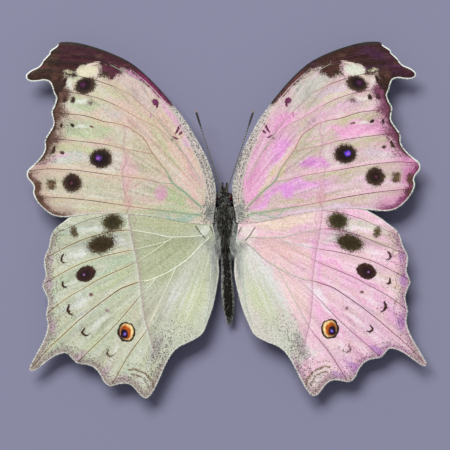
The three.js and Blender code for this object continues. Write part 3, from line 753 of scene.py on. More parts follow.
def paint_hindwing(paint, at, rim, lines, side):
    """A hindwing's pattern: the pale fold, tinted veins, flames, the cross line and the dusty margin."""
    out, forward = at.T
    left = side == "left"
    cross = near_line(at, cross_lines["hindwing"], 45)
    inner = cross[1] < 0
    wavy = wander(at, 0.5, 0.9, 41)
    uneven = wander(at, 1.5, 1.8, 71)
    fold_area = patch_of(wander(at, 0.8, 1.5, 43), fold_line + [(14, -31), (0, -31), (0, -4)], 0.7)
    paint.tint(0.5 * fold_area if left else 0.8 * fold_area, (206, 212, 194))
    paint.tint(0.5 * fade(0.2, 1.4, ellipse(uneven, 6.8, -17.2, 6, 2.2, -66)), (206, 217, 166))
    paint.tint(0.6 * fade(0.2, 1.4, ellipse(uneven, 8.4, -11.6, 6.5, 1.0, -60)), (220, 224, 219))
    warm = (222, 212, 160) if left else (226, 182, 200)
    for name, strength in (("sector", 0.4), ("media_1", 0.5), ("media_2", 0.5), ("media_3", 0.5),
                           ("cubitus_1", 0.4), ("cubitus_2", 0.4)):
        paint.tint(strength * stripe(lines[name], 0.15, 0.35, 0.0, 0.3), warm)
        paint.tint(0.6 * strength * stripe(lines[name], 0.3, 0.6, -0.9, 0.4),
                   (188, 208, 176) if left else (244, 206, 222))
    pale_rays = ([(4.1, -5.4), (5.9, -9.2), (8.1, -13), (10.5, -17)],
                 [(4.3, -5.2), (7.2, -9.8), (10.2, -14.6), (12.8, -19.5)],
                 [(3.6, -6), (4.6, -10), (6.2, -14.5), (8.2, -19.5)],
                 [(3.8, -5.6), (5.2, -9.2), (7.0, -13.5), (9.4, -18.5)])
    for line in pale_rays:
        paint.tint(0.5 * stripe(near_line(at, line), 0.06, 0.3), (228, 231, 226))
    fold = near_line(at, [(2.9, -6), (2.95, -12), (3.3, -17), (4.4, -21.5)])
    paint.tint(0.6 * stripe(fold, 0.1, 0.3), (176, 190, 172))
    flames = ((28.9, -6.9, 3.2, 0.85, -17), (29.8, -12.2, 2.2, 0.6, -24), (28.6, -16.8, 3.0, 0.8, -33),
              (25.9, -20.9, 3.2, 0.8, -42), (22.4, -26.2, 1.8, 0.7, -58), (26.5, -2.2, 4.0, 0.6, -8))
    for out_at, forward_at, long, short, turn in flames:
        flame = ellipse(wander(at, 0.9, 0.8, 51), out_at, forward_at, long, short, turn)
        paint.tint(0.65 * fade(0.1, 1.3, flame), (228, 234, 226) if left else (250, 232, 242))
        wider = ellipse(wander(at, 0.7, 0.7, 53), out_at + 0.3, forward_at, 1.25 * long, 1.35 * short, turn)
        rim_line = fade(0.0, 0.12, np.abs(wider - 1.0))
        paint.tint(0.3 * rim_line * drift(at / 0.7, 55), (128, 134, 116) if left else (186, 128, 164))
    if left:
        paint.tint(0.4 * inner * smooth(-16, -11, forward), (166, 176, 126))
    paint.tint(0.45 * fade(0.1, 1.5, cross[0]) * inner, (160, 156, 130) if left else (222, 168, 190))
    paint.tint(0.5 * fade(0.1, 1.2, cross[0]) * ~inner, (222, 228, 212) if left else (246, 214, 230))
    paint.tint(0.85 * stripe(cross, 0.05, 0.14), cross_colours[side])
    paint.tint(0.6 * fade(0.3, 1.3, ellipse(at, 14.2, -26.2, 1.3, 3.4, 18)), (146, 136, 138))
    for gate, colour in (([(5.8, -1.9), (4.6, -3.7), (3.7, -4.7)], (96, 92, 70)),
                         ([(2.9, -2.0), (2.3, -3.3), (2.0, -4.2)], (80, 76, 66))):
        paint.dot(0.8 * stripe(near_line(at, gate), 0.05, 0.14), colour)
    window = fade(0.7, 1.1, ellipse(at, 3.9, -3.0, 1.25, 0.9, -50))
    paint.tint(0.8 * window, (222, 228, 214) if left else (240, 226, 222))
    double = near_line(at, [(17.9, 0.4), (17.6, -0.6), (18.0, -1.7)])
    paint.tint(0.6 * stripe(double, 0.06, 0.16), cross_colours[side])

    # The outer margin: a mauve band with violet spots, dusky tails, arcs, hooks and scallops, and dust.
    outer = smooth(11.5, 13.5, out) * smooth(-0.5, -3.5, forward)
    band = fade(0.5, 1.7, rim) * outer
    mauve = (146, 122, 122) if left else (172, 112, 158)
    if not left:
        paint.tint(0.4 * fade(0.8, 3.4, rim) * outer * smooth(-20, -14, forward), (186, 160, 132))
    paint.tint(0.7 * band, mauve)
    margin_spots = ((34.9, -8.2, 0.8, 1.3, 0), (35.2, -12.8, 0.8, 1.3, 0), (34.7, -21.6, 0.9, 1.9, -10),
                    (29.6, -27.4, 2.0, 1.0, -30), (24.8, -30.6, 2.2, 1.0, -42), (21.4, -32.2, 1.8, 0.9, 0))
    for out_at, forward_at, long, short, turn in margin_spots:
        spot = fade(0.3, 1.35, ellipse(wander(at, 0.8, 0.7, 57), out_at, forward_at, long, short, turn))
        paint.tint((0.55 if left else 0.75) * spot, (178, 138, 166) if left else (178, 106, 192))
    tail_ends = smooth(35.5, 37.5, out) + smooth(-30.5, -33.5, forward)
    tails = fade(0.6, 2.2, rim) * tail_ends * (forward < -22)
    paint.tint(0.6 * np.clip(tails, 0, 1), (168, 150, 136))
    paint.tint(0.6 * fade(0.3, 1.3, ellipse(at, 17.2, -32.4, 2.6, 1.3, 50)), (222, 226, 214))
    tail_arcs = (([(20.0, -30.4), (18.4, -30.5), (16.6, -31.3), (15.3, -32.8), (14.9, -34.3)], 0.55),
                 ([(19.4, -31.4), (17.9, -31.8), (16.7, -32.6), (15.9, -34.2)], 0.5),
                 ([(20.3, -29.5), (18.9, -29.2), (17.4, -29.6)], 0.3))
    for arc, strength in tail_arcs:
        paint.dot(strength * stripe(near_line(wander(at, 0.3, 0.7, 73), arc), 0.05, 0.5), (104, 82, 58))
    hooks = (([(32.3, -7.0), (32.7, -7.8), (32.6, -8.4), (32.1, -8.7)], 0.95),
             ([(32.5, -12.4), (32.6, -13.1), (32.3, -13.5), (31.9, -13.6)], 0.9),
             ([(31.5, -17.2), (31.7, -18.1), (31.4, -18.8), (30.8, -19.1)], 1.0),
             ([(28.6, -21.9), (28.9, -22.8), (28.4, -23.3), (27.7, -23.3)], 0.9),
             ([(23.9, -26.1), (24.0, -27.2), (23.3, -27.6), (22.5, -27.3)], 0.6))
    for hook, strength in hooks:
        bend = near_line(wander(at, 0.25, 0.4, 47), hook)
        paint.dot(strength * fade(0.1, 0.42, bend[0] + 0.25 * np.abs(bend[2] - 0.45)), (58, 36, 28))
        paint.strew(0.12 * fade(0.3, 1.4, bend[0]))
    scallops = ([(33.9, -6.4), (33.2, -7.4), (33.6, -9.4)],
                [(34.4, -11.2), (33.7, -12.6), (34.0, -14.8)],
                [(34.1, -16.3), (33.4, -18.6), (34.0, -21.0)],
                [(33.2, -24.9), (31.0, -25.6), (28.7, -26.6)],
                [(27.6, -28.2), (26.0, -29.4), (24.4, -30.4)])
    for scallop in scallops:
        paint.dot(0.4 * stripe(near_line(wavy, scallop), 0.03, 0.25), (112, 94, 86))
    dust = (0.24 if left else 0.23) * outer * fade(0.4, 3.4, rim)
    dust += 0.26 * fade(0.4, 1.3, ellipse(at, 13.8, -27.5, 5.5, 2.2, -62))
    dust += 0.08 * fade(0.5, 1.4, ellipse(at, 11, -23, 5, 3, 0))
    paint.strew(np.clip(dust, 0, 0.3))


def mixed(tree, share, first, second, blend="MIX"):
    """The colour between two, by a share from 0 to 1."""
    node = linked(tree, "ShaderNodeMix", {0: share, 6: first, 7: second}, data_type="RGBA",
                  blend_type=blend)
    return node.outputs[2]


def ramped(tree, value, low, high):
    """A value brought from low..high to 0..1."""
    return linked(tree, "ShaderNodeMapRange",
                  {"Value": value, "From Min": low, "From Max": high}).outputs["Result"]


def product_of(tree, first, second):
    """One value times another."""
    return linked(tree, "ShaderNodeMath", {0: first, 1: second}, operation="MULTIPLY").outputs[0]


def sum_of(tree, first, second):
    """One value and another added up."""
    return linked(tree, "ShaderNodeMath", {0: first, 1: second}, operation="ADD").outputs[0]


def scale_material(name):
    """Wing scales: fine pearly grains of slightly different colour, dark grains strewn among them and
    marks of dark scales with a grainy rim, all in rows of tiny overlapping plates."""
    material, tree, shader = new_material(name, (220, 210, 190), 0.5, Specular_IOR_Level=0.1)
    place = linked(tree, "ShaderNodeTexCoord").outputs["Object"]
    ground = linked(tree, "ShaderNodeAttribute", attribute_name="ground").outputs["Color"]
    mark = linked(tree, "ShaderNodeAttribute", attribute_name="mark")
    dust = linked(tree, "ShaderNodeAttribute", attribute_name="dust").outputs["Fac"]
    grain = linked(tree, "ShaderNodeTexNoise", {"Vector": place, "Scale": 3200, "Detail": 2}).outputs["Fac"]
    plates = linked(tree, "ShaderNodeTexVoronoi", {"Vector": place, "Scale": 6500})
    lot = linked(tree, "ShaderNodeSeparateColor", {"Color": plates.outputs["Color"]})

    darker = mixed(tree, 1.0, ground, (0.74, 0.72, 0.7, 1), "MULTIPLY")
    brighter = mixed(tree, 0.17, ground, (1, 1, 1, 1))
    scales = mixed(tree, ramped(tree, grain, 0.36, 0.64), darker, brighter)
    scales = mixed(tree, 0.5, scales, mixed(tree, lot.outputs["Green"], darker, brighter))
    speck = ramped(tree, sum_of(tree, lot.outputs["Red"], dust), 0.98, 1.02)
    dusted = mixed(tree, product_of(tree, speck, 0.8), scales, (0.075, 0.06, 0.05, 1))
    ragged = sum_of(tree, product_of(tree, mark.outputs["Alpha"], 1.25),
                    product_of(tree, lot.outputs["Blue"], 0.5))
    cover = ramped(tree, ragged, 0.55, 1.0)
    mark_grain = mixed(tree, ramped(tree, grain, 0.3, 0.7), mark.outputs["Color"],
                       mixed(tree, 0.012, mark.outputs["Color"], (0.8, 0.5, 0.45, 1)))
    colour = mixed(tree, cover, dusted, mark_grain)
    tree.links.new(colour, shader.inputs["Base Color"])
    relief(tree, shader, plates.outputs["Distance"], 0.3, 0.03)
    return material


def set_attribute(mesh, name, values):
    """Stores a value or a colour for each vertex; a colour given in three parts is made solid."""
    if values.ndim == 1:
        mesh.attributes.new(name, "FLOAT", "POINT").data.foreach_set("value", values)
        return
    if values.shape[1] == 3:
        values = np.column_stack([values, np.ones(len(values))])
    mesh.attributes.new(name, "FLOAT_COLOR", "POINT").data.foreach_set("color", values.ravel())


wing_scales = {side: scale_material(f"{side}_wing_scales") for side in ("left", "right")}
rims = {}
for kind, veins, painter in (("forewing", forewing_veins, paint_forewing),
                             ("hindwing", hindwing_veins, paint_hindwing)):
    blank, rim = trimmed_sheet(f"left_{kind}")
    rims[kind] = rim
    count = len(blank.vertices)
    co = np.empty(count * 3)
    blank.vertices.foreach_get("co", co)
    co = co.reshape(-1, 3)
    at = np.column_stack([-co[:, 0] / MM - root_offset, co[:, 1] / MM])
    upper = co[:, 2] > 0
    rim_gap = nearest(at, rim[:, 0], rim[:, 1])[0]
    lines = {name: near_line(at, points) for name, points in veins.items()}
    vein_gap = np.min([line[0] for line in lines.values()], axis=0)
    thickness = edge_half_thickness + (sheet_half_thickness - edge_half_thickness) * smooth(0, 1.2, rim_gap)
    ridge = ridge_height * fade(0.0, 1.3, vein_gap)
    lift = np.where(upper, 1, -1) * thickness + ridge + pressed(kind, at[:, 1])
    uneven, fuzzy = wander(at, 2.2, 2.4, 3), wander(at, 0.26, 0.5, 5)
    for side in ("left", "right"):
        paint = Paint(count, grounds[kind, side])
        painted_sheen(paint, at, kind, side)
        for out, forward, long, short, turn, colour, strength in patches[kind, side]:
            spread = ellipse(uneven, out, forward, long, short, turn)
            paint.tint(strength * fade(0.5, 1.35, spread), colour)
        threads(paint, at, kind, side)
        painter(paint, at, rim_gap, lines, side)
        for out, forward, long, short, turn, colour, soft in marks[kind]:
            cover = fade(1 - 0.6 * soft, 1 + 0.7 * soft, ellipse(fuzzy, out, forward, long, short, turn))
            cover = cover * (1 - 0.6 * max(soft - 0.8, 0))
            paint.dot(cover, violet[side] if colour == "violet" else colour)
        grainy = 1 + 0.9 * (drift(at / 0.3, 61) - 0.4)
        paint.mark = np.clip(paint.mark * grainy[:, None], 0, 1)
        pale_edge = fade(0.08, 0.25, rim_gap)
        if kind == "forewing":
            front_gap = near_line(at, front_edge)[0]
            pale_edge *= 1 - (front_gap < 0.6) * (0.3 + 0.55 * smooth(15, 22, at[:, 1]))
            pale_edge *= smooth(20, 30, at[:, 0]) + (at[:, 1] > 4)
        paint.clear(0.95 * pale_edge)
        paint.tint(0.9 * pale_edge, (220, 224, 214))
        pearl = (226, 228, 214) if side == "left" else (230, 222, 222)
        paint.tint(0.72 * ~upper, pearl)
        paint.cover *= np.where(upper, 1, 0.55)
        paint.dust *= np.where(upper, 1, 0.5)

        sheet = blank.copy()
        sheet.vertices.foreach_set("co", on_wing(kind, side, at, lift).ravel())
        if side == "right":
            sheet.flip_normals()
        set_attribute(sheet, "ground", paint.ground)
        set_attribute(sheet, "mark", np.column_stack([paint.mark, paint.cover]))
        set_attribute(sheet, "dust", paint.dust)
        piece = finished(sheet, f"{side}_{kind}_membrane", wing_scales[side])
        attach(piece, "root")
        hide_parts(f"{side}_{kind}")
    bpy.data.meshes.remove(blank)


def tubes(name, lines, radii, sides=1):
    """Round tubes along lines of points, with a radius at each point and closed ends, as one mesh."""
    curve = bpy.data.curves.new(name, "CURVE")
    curve.dimensions = "3D"
    curve.bevel_depth = 1.0
    curve.bevel_resolution = sides
    curve.use_fill_caps = True
    for line, widths in zip(lines, radii):
        spline = curve.splines.new("POLY")
        spline.points.add(len(line) - 1)
        spline.points.foreach_set("co", np.column_stack([line, np.ones(len(line))]).ravel())
        spline.points.foreach_set("radius", np.asarray(widths, np.float32))
    holder = bpy.data.objects.new(name, curve)
    bpy.context.scene.collection.objects.link(holder)
    bpy.context.view_layer.update()
    mesh = bpy.data.meshes.new_from_object(holder.evaluated_get(bpy.context.evaluated_depsgraph_get()))
    bpy.data.objects.remove(holder)
    bm = bmesh.new()
    bm.from_mesh(mesh)
    bmesh.ops.remove_doubles(bm, verts=bm.verts, dist=1e-7)
    bmesh.ops.recalc_face_normals(bm, faces=bm.faces)
    bm.to_mesh(mesh)
    bm.free()
    return mesh


def corners_of(mesh):
    """The places of a mesh's corners, one row for each."""
    co = np.empty(len(mesh.vertices) * 3)
    mesh.vertices.foreach_get("co", co)
    return co.reshape(-1, 3)


def tinted_material(name, roughness, grain_scale, contrast, specular, bump=0.0):
    """A finish whose colour is laid on the piece itself, broken up by a fine grain."""
    material, tree, shader = new_material(name, (128, 120, 110), roughness, Specular_IOR_Level=specular)
    place = linked(tree, "ShaderNodeTexCoord").outputs["Object"]
    tint = linked(tree, "ShaderNodeAttribute", attribute_name="ground").outputs["Color"]
    grain = linked(tree, "ShaderNodeTexNoise",
                   {"Vector": place, "Scale": grain_scale, "Detail": 3}).outputs["Fac"]
    darker = mixed(tree, 1.0, tint, (1 - contrast, 1 - contrast, 1 - contrast, 1), "MULTIPLY")
    lift = 1 + 0.8 * contrast
    brighter = mixed(tree, 1.0, tint, (lift, lift, lift, 1), "MULTIPLY")
    colour = mixed(tree, ramped(tree, grain, 0.34, 0.66), darker, brighter)
    tree.links.new(colour, shader.inputs["Base Color"])
    if bump:
        relief(tree, shader, grain, bump, 0.05)
    return material


# The wing veins: fine hollow tubes of chitin that run in the membrane from the root to the edge, pale or
# green at the root and brown towards the edge. They stand a little out of the upper face.
vein_flattening, vein_height = 0.45, 0.095
vein_material = tinted_material("wing_vein", 0.45, 2500, 0.2, 0.3)
vein_girths = {
    "radial": (0.12, 0.05), "radial_tip": (0.07, 0.05), "subcosta": (0.11, 0.05),
    "media_1": (0.08, 0.068), "media_2": (0.07, 0.066), "media_3": (0.15, 0.068),
    "cubitus_1": (0.08, 0.066), "cubitus_2": (0.09, 0.066), "anal": (0.12, 0.06),
    "sector": (0.12, 0.064), "costa": (0.09, 0.05), "anal_1": (0.07, 0.045),
    "anal_2": (0.06, 0.045),
}
# Vein colours at the root, in the middle and towards the edge; the two sides differ as painted sheen,
# pinker on the right.
vein_colours = {
    ("forewing", "left"): ((142, 168, 140), (176, 134, 114), (58, 32, 28)),
    ("forewing", "right"): ((160, 164, 136), (184, 130, 136), (92, 40, 54)),
    ("hindwing", "left"): ((226, 231, 212), (112, 66, 64), (62, 28, 28)),
    ("hindwing", "right"): ((186, 188, 170), (168, 92, 120), (100, 34, 62)),
}
for kind, veins in (("forewing", forewing_veins), ("hindwing", hindwing_veins)):
    lines = [smooth_line(points, 5) for points in veins.values()]
    girths = [np.linspace(*vein_girths[name], len(line)) for name, line in zip(veins, lines)]
    flat_lines = [np.column_stack([line, np.zeros(len(line))]) for line in lines]
    pattern = tubes(f"{kind}_veins", flat_lines, girths)
    co = corners_of(pattern)
    at = co[:, :2]
    cross = near_line(at, cross_lines[kind], 60)
    past_cross = cross[0] * cross[1]
    for side in ("left", "right"):
        inner, middle, outer = vein_colours[kind, side]
        tint = np.tile(linear(inner), (len(co), 1))
        lay(tint, smooth(-9, -4, past_cross) if kind == "forewing" else smooth(-1.5, 1.5, past_cross),
            middle)
        lay(tint, smooth(0.5, 5, past_cross), outer)
        front = fade(2.6, 3.4, near_line(at, front_edge, 60)[0] + 0.1 * at[:, 0])
        lay(tint, 0.9 * front * (at[:, 0] < 16) * (kind == "forewing"), (218, 204, 190))
        mesh = pattern.copy()
        lift = vein_flattening * co[:, 2] + vein_height + pressed(kind, at[:, 1])
        mesh.vertices.foreach_set("co", on_wing(kind, side, at, lift).ravel())
        if side == "left":
            mesh.flip_normals()
        set_attribute(mesh, "ground", tint)
        piece = finished(mesh, f"{side}_{kind}_veins", vein_material)
        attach(piece, "root")
    bpy.data.meshes.remove(pattern)


# The fringe: long pale scales that stand out from the edge of each wing, side by side. Each is a thin
# closed spike, rooted just inside the edge.
fringe_spacing, fringe_reach, fringe_depth, fringe_width = 0.075, 0.16, 0.16, 0.05
fringe_material = tinted_material("pale_fringe", 0.6, 5000, 0.25, 0.2)


def spike(cuts=0):
    """A three-sided spike of unit length and unit girth, standing on the origin."""
    bm = bmesh.new()
    bmesh.ops.create_cone(bm, cap_ends=True, segments=3, radius1=1, radius2=0, depth=1)
    bmesh.ops.translate(bm, vec=(0, 0, 0.5), verts=bm.verts)
    if cuts:
        rising = [e for e in bm.edges if abs(e.verts[0].co.z - e.verts[1].co.z) > 0.5]
        bmesh.ops.subdivide_edges(bm, edges=rising, cuts=cuts, use_grid_fill=False)
    bmesh.ops.triangulate(bm, faces=bm.faces)
    bmesh.ops.recalc_face_normals(bm, faces=bm.faces)
    mesh = bpy.data.meshes.new("spike")
    bm.to_mesh(mesh)
    bm.free()
    return mesh


def tuft(pattern, roots, aims, lengths, girths, droops=None):
    """Many copies of a spike as one mesh: each has a root, a direction, a length, a girth and a droop."""
    shape = corners_of(pattern)
    faces = np.array([tuple(face.vertices) for face in pattern.polygons])
    aims = aims / np.linalg.norm(aims, axis=1, keepdims=True)
    helper = np.where(np.abs(aims[:, 2:]) < 0.9, [[0, 0, 1]], [[1, 0, 0]])
    first = np.cross(aims, helper)
    first /= np.linalg.norm(first, axis=1, keepdims=True)
    second = np.cross(aims, first)
    lengths, girths = lengths[:, None, None], girths[:, None, None]
    co = roots[:, None] + shape[None, :, 2:] * lengths * aims[:, None]
    co = co + girths * (shape[None, :, :1] * first[:, None] + shape[None, :, 1:2] * second[:, None])
    if droops is not None:
        co = co + (shape[None, :, 2:] ** 2) * lengths * droops[:, None]
    faces = faces[None] + (np.arange(len(roots)) * len(shape))[:, None, None]
    mesh = bpy.data.meshes.new("tuft")
    mesh.from_pydata(co.reshape(-1, 3), [], faces.reshape(-1, 3).tolist())
    return mesh, len(shape)


def within_box(co):
    """Keeps points just inside the box of the frame."""
    low, high = (np.array(corner) for corner in cad_box)
    return np.clip(co, low + 0.01 * MM, high - 0.01 * MM)


draw = np.random.default_rng(7)
fringe_spike = spike()
for kind, side in grounds:
    rim = rims[kind]
    lengths = np.hypot(*(rim[:, 1] - rim[:, 0]).T)
    counts = np.maximum((lengths / fringe_spacing).astype(int), 1)
    which = np.repeat(np.arange(len(rim)), counts)
    share = draw.random(len(which))[:, None]
    at = rim[which, 0] + share * (rim[which, 1] - rim[which, 0])
    outwards = rim[which, 2] + draw.normal(0, 0.25, (len(which), 2))
    if kind == "forewing":
        kept = (near_line(at, front_edge)[0] > 0.4) | (at[:, 0] < 8)
        kept &= (at[:, 1] > 3.5) | (at[:, 0] > 27) | (draw.random(len(at)) < 0.25)
        at, outwards = at[kept], outwards[kept]
    press = pressed(kind, at[:, 1])
    roots = on_wing(kind, side, at - fringe_depth * outwards, press)
    tips = on_wing(kind, side, at + outwards * draw.uniform(0.6, 1.0, (len(at), 1)) * fringe_reach, press)
    aims = tips - roots
    reach = np.linalg.norm(aims, axis=1)
    mesh, corners = tuft(fringe_spike, roots, aims, reach, np.full(len(at), fringe_width * MM))
    mesh.vertices.foreach_set("co", within_box(corners_of(mesh)).ravel())
    tint = np.tile(linear((232, 234, 222)), (len(at), 1)) * draw.uniform(0.75, 1.05, (len(at), 1))
    set_attribute(mesh, "ground", np.repeat(tint, corners, axis=0))
    piece = finished(mesh, f"{side}_{kind}_fringe", fringe_material, smooth_shaded=False)
    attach(piece, "root")


# The hair coat: fine hairs and hair-like scales that grow all over the body and over the wing roots.
# Each is a thin closed spike, bent a little, and many of them make one piece.
hair_material = tinted_material("body_hair", 0.6, 9000, 0.25, 0.1)
bent_hair = spike(2)
grey_hair, pale_hair, dark_hair, brown_hair = (118, 122, 116), (214, 218, 212), (20, 19, 16), (60, 54, 44)
all_hair = (dark_hair, brown_hair, grey_hair, pale_hair)


def coat(name, roots, aims, lengths, girth, colours, droop=(0, 0, 0)):
    """Hairs as one piece, in millimetres: where each grows, which way, how long and what colour."""
    count = len(roots)
    bends = np.tile(np.asarray(droop, float), (count, 1)) + draw.normal(0, 0.12, (count, 3))
    mesh, corners = tuft(bent_hair, roots * MM, aims, lengths * MM, np.full(count, girth * MM), bends)
    mesh.vertices.foreach_set("co", within_box(corners_of(mesh)).ravel())
    tints = np.repeat(colours * draw.uniform(0.7, 1.15, (count, 1)), corners, axis=0)
    set_attribute(mesh, "ground", tints)
    piece = finished(mesh, name, hair_material, smooth_shaded=False)
    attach(piece, "root")


def blend_of(shares, *colours):
    """For each hair, one of a few colours, drawn at random with the shares given for it."""
    shares = np.asarray(shares, float)
    steps = np.cumsum(shares, axis=1) / shares.sum(axis=1, keepdims=True)
    picked = (draw.random((len(shares), 1)) > steps[:, :-1]).sum(axis=1)
    return linear(np.array(colours))[picked]


def scattered(mesh, count):
    """Random places all over a mesh, in millimetres, and the direction that each one faces."""
    mesh.calc_loop_triangles()
    triangles = np.array([tuple(triangle.vertices) for triangle in mesh.loop_triangles])
    corners = corners_of(mesh)[triangles]
    facing = np.cross(corners[:, 1] - corners[:, 0], corners[:, 2] - corners[:, 0])
    sizes = np.linalg.norm(facing, axis=1)
    picked = draw.choice(len(triangles), count, p=sizes / sizes.sum())
    first, second = draw.random((2, count, 1))
    past = first + second > 1
    first, second = np.where(past, 1 - first, first), np.where(past, 1 - second, second)
    base = corners[picked]
    places = base[:, 0] + first * (base[:, 1] - base[:, 0]) + second * (base[:, 2] - base[:, 0])
    return places, facing[picked] / sizes[picked, None]


def claimed(mesh, name, material, node):
    """A mesh in millimetres as a finished piece that stands for a node of the frame."""
    mesh.vertices.foreach_set("co", within_box(corners_of(mesh) * MM).ravel())
    piece = finished(mesh, name, material)
    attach(piece, "root")
    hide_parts(node)


def tint_evenly(mesh, colour):
    """The same colour all over a mesh."""
    set_attribute(mesh, "ground", np.tile(linear(colour), (len(mesh.vertices), 1)))


def turned(profile, steps=40):
    """A round body spun about the Y axis from its half widths, each with its place along the axis. The spin
    gives its faces in another order each run, so they are sorted, and the hair falls alike every time."""
    line = smooth_line(profile, 5)
    bm = bmesh.new()
    verts = [bm.verts.new((max(width, 0), along, 0)) for width, along in line]
    edges = [bm.edges.new(pair) for pair in zip(verts, verts[1:])]
    bmesh.ops.spin(bm, geom=verts + edges, cent=(0, 0, 0), axis=(0, 1, 0), angle=2 * math.pi, steps=steps,
                   use_merge=True)
    bmesh.ops.remove_doubles(bm, verts=bm.verts, dist=1e-4)
    bmesh.ops.recalc_face_normals(bm, faces=bm.faces)
    bm.verts.index_update()
    places = [tuple(v.co) for v in bm.verts]
    rings = [[v.index for v in face.verts] for face in bm.faces]
    bm.free()
    starts = [ring.index(min(ring)) for ring in rings]
    mesh = bpy.data.meshes.new("turned")
    mesh.from_pydata(places, [], sorted(ring[start:] + ring[:start] for ring, start in zip(rings, starts)))
    return mesh


def ball(centre, radii, subdivisions=4):
    """A round ball drawn out to three half widths."""
    bm = bmesh.new()
    bmesh.ops.create_icosphere(bm, subdivisions=subdivisions, radius=1)
    bmesh.ops.scale(bm, vec=radii, verts=bm.verts)
    bmesh.ops.translate(bm, vec=centre, verts=bm.verts)
    mesh = bpy.data.meshes.new("ball")
    bm.to_mesh(mesh)
    bm.free()
    return mesh


# The thorax: the firm middle of the body that carries wings and legs, cut flat underneath where the
# specimen rests. Its shell is dark and covered in hair that is brushed back, darkest down the middle.
thorax_profile = [(0, -6.6), (0.85, -6.5), (1.12, -6.1), (1.24, -5.4), (1.44, -4.5), (1.72, -3.4),
                  (1.94, -2.2), (2.0, -0.8), (1.84, 0.6), (1.35, 1.7), (0.75, 2.28), (0, 2.5)]
thorax_height, thorax_centre, thorax_share = 5.5, 2.45, 0.9
thorax_hairs = 8000
scaly_skin = tinted_material("dark_scaly_skin", 0.6, 5000, 0.45, 0.12, 0.6)
thorax_mesh = turned(thorax_profile)
co = corners_of(thorax_mesh) * (thorax_share, 1, thorax_share)
co[:, 2] = np.clip(co[:, 2] * thorax_height / 4 + thorax_centre, 0, None)
thorax_mesh.vertices.foreach_set("co", co.ravel())
tint = np.tile(linear((58, 54, 46)), (len(co), 1))
lay(tint, fade(0.2, 0.7, np.abs(co[:, 0])), (20, 18, 15))
lay(tint, smooth(1.2, 1.8, np.abs(co[:, 0])), (84, 86, 80))
set_attribute(thorax_mesh, "ground", tint)
roots, facing = scattered(thorax_mesh, thorax_hairs)
kept = (roots[:, 2] > 0.7) & (facing[:, 2] > -0.7)
roots, facing = roots[kept], facing[kept]
claimed(thorax_mesh, "thorax_shell", scaly_skin, "thorax")
middle = fade(0.25, 0.75, np.abs(roots[:, 0]))
flank = smooth(0.9, 1.6, np.abs(roots[:, 0])) + 0.8 * smooth(-3, -6, roots[:, 1])
aims = 0.45 * facing + [0, -1, 0] + draw.normal(0, 0.22, roots.shape)
clump = smooth(0.4, 0.8, drift(roots[:, :2] / (0.24, 0.9), 31))
shares = np.column_stack([1.0 + 1.6 * middle + 1.0 * (1 - clump), 1.1 + 0.6 * clump,
                          0.35 + clump * (0.6 + 1.2 * flank), clump * (0.05 + 0.6 * flank)])
coat("thorax_hair", roots, aims, draw.uniform(0.4, 0.9, len(roots)), 0.042,
     blend_of(shares, *all_hair))

# Long silky hair from the hind flanks of the thorax, spread over the wing roots and the waist.
count = 1500
hand = np.where(draw.random(count) < 0.5, -1, 1)
along = draw.uniform(-6.4, 1.6, count)
half_width = thorax_share * np.interp(along, [place for _, place in thorax_profile],
                                      [width for width, _ in thorax_profile])
roots = np.column_stack([hand * half_width * draw.uniform(0.75, 0.95, count), along,
                         draw.uniform(3.3, 4.1, count)])
aims = np.column_stack([hand * draw.uniform(0.2, 1.5, count), draw.uniform(-1.2, -0.4, count),
                        draw.normal(0.3, 0.15, count)])
shares = np.column_stack([0.35 + 0.8 * smooth(-3, 1, along), np.full(count, 0.6),
                          0.9 - 0.5 * smooth(-3, 1, along)])
coat("flank_hair", roots, aims, draw.uniform(0.8, 2.4, count), 0.02,
     blend_of(shares, dark_hair, grey_hair, pale_hair), (0, 0, -0.3))
count = 2400
across = np.clip(draw.normal(0, 0.5, count), -1.2, 1.2)
roots = np.column_stack([across, draw.uniform(-6.4, -4.2, count), 4.45 - 0.8 * across**2])
roots[:, 2] -= 0.5 * smooth(-5, -6.5, roots[:, 1])
aims = np.column_stack([0.35 * across, draw.uniform(-1.2, -0.8, count), draw.normal(-0.12, 0.08, count)])
shares = np.column_stack([0.3 + 1.8 * fade(0.3, 1.0, np.abs(across)), np.full(count, 0.8),
                          np.full(count, 0.5), 0.25 * smooth(0.4, 1.0, np.abs(across))])
coat("waist_hair", roots, aims, draw.uniform(1.0, 2.1, count), 0.03,
     blend_of(shares, *all_hair), (0, 0, -0.15))

# The mantle: pale silky hair that grows on the hind end of the thorax and spreads over the waist and the
# roots of the hindwings.
count = 2200
hand = np.where(draw.random(count) < 0.5, -1, 1)
along = draw.triangular(-8.2, -5.0, -1.8, count)
across = draw.uniform(0.9, np.interp(along, [-8.2, -5.5, -1.8], [1.3, 1.9, 2.1]))
roots = np.column_stack([hand * across, along, draw.uniform(3.75, 4.2, count)])
aims = np.column_stack([hand * draw.uniform(0.0, 0.9, count), draw.normal(-1.0, 0.25, count),
                        draw.normal(0.06, 0.1, count)])
shares = np.column_stack([0.45 + 0.5 * smooth(-4, -2, along), np.full(count, 0.8), np.full(count, 0.9)])
coat("waist_mantle", roots, aims, draw.uniform(0.7, 2.6, count), 0.016,
     blend_of(shares, dark_hair, grey_hair, pale_hair), (0, 0, -0.25))

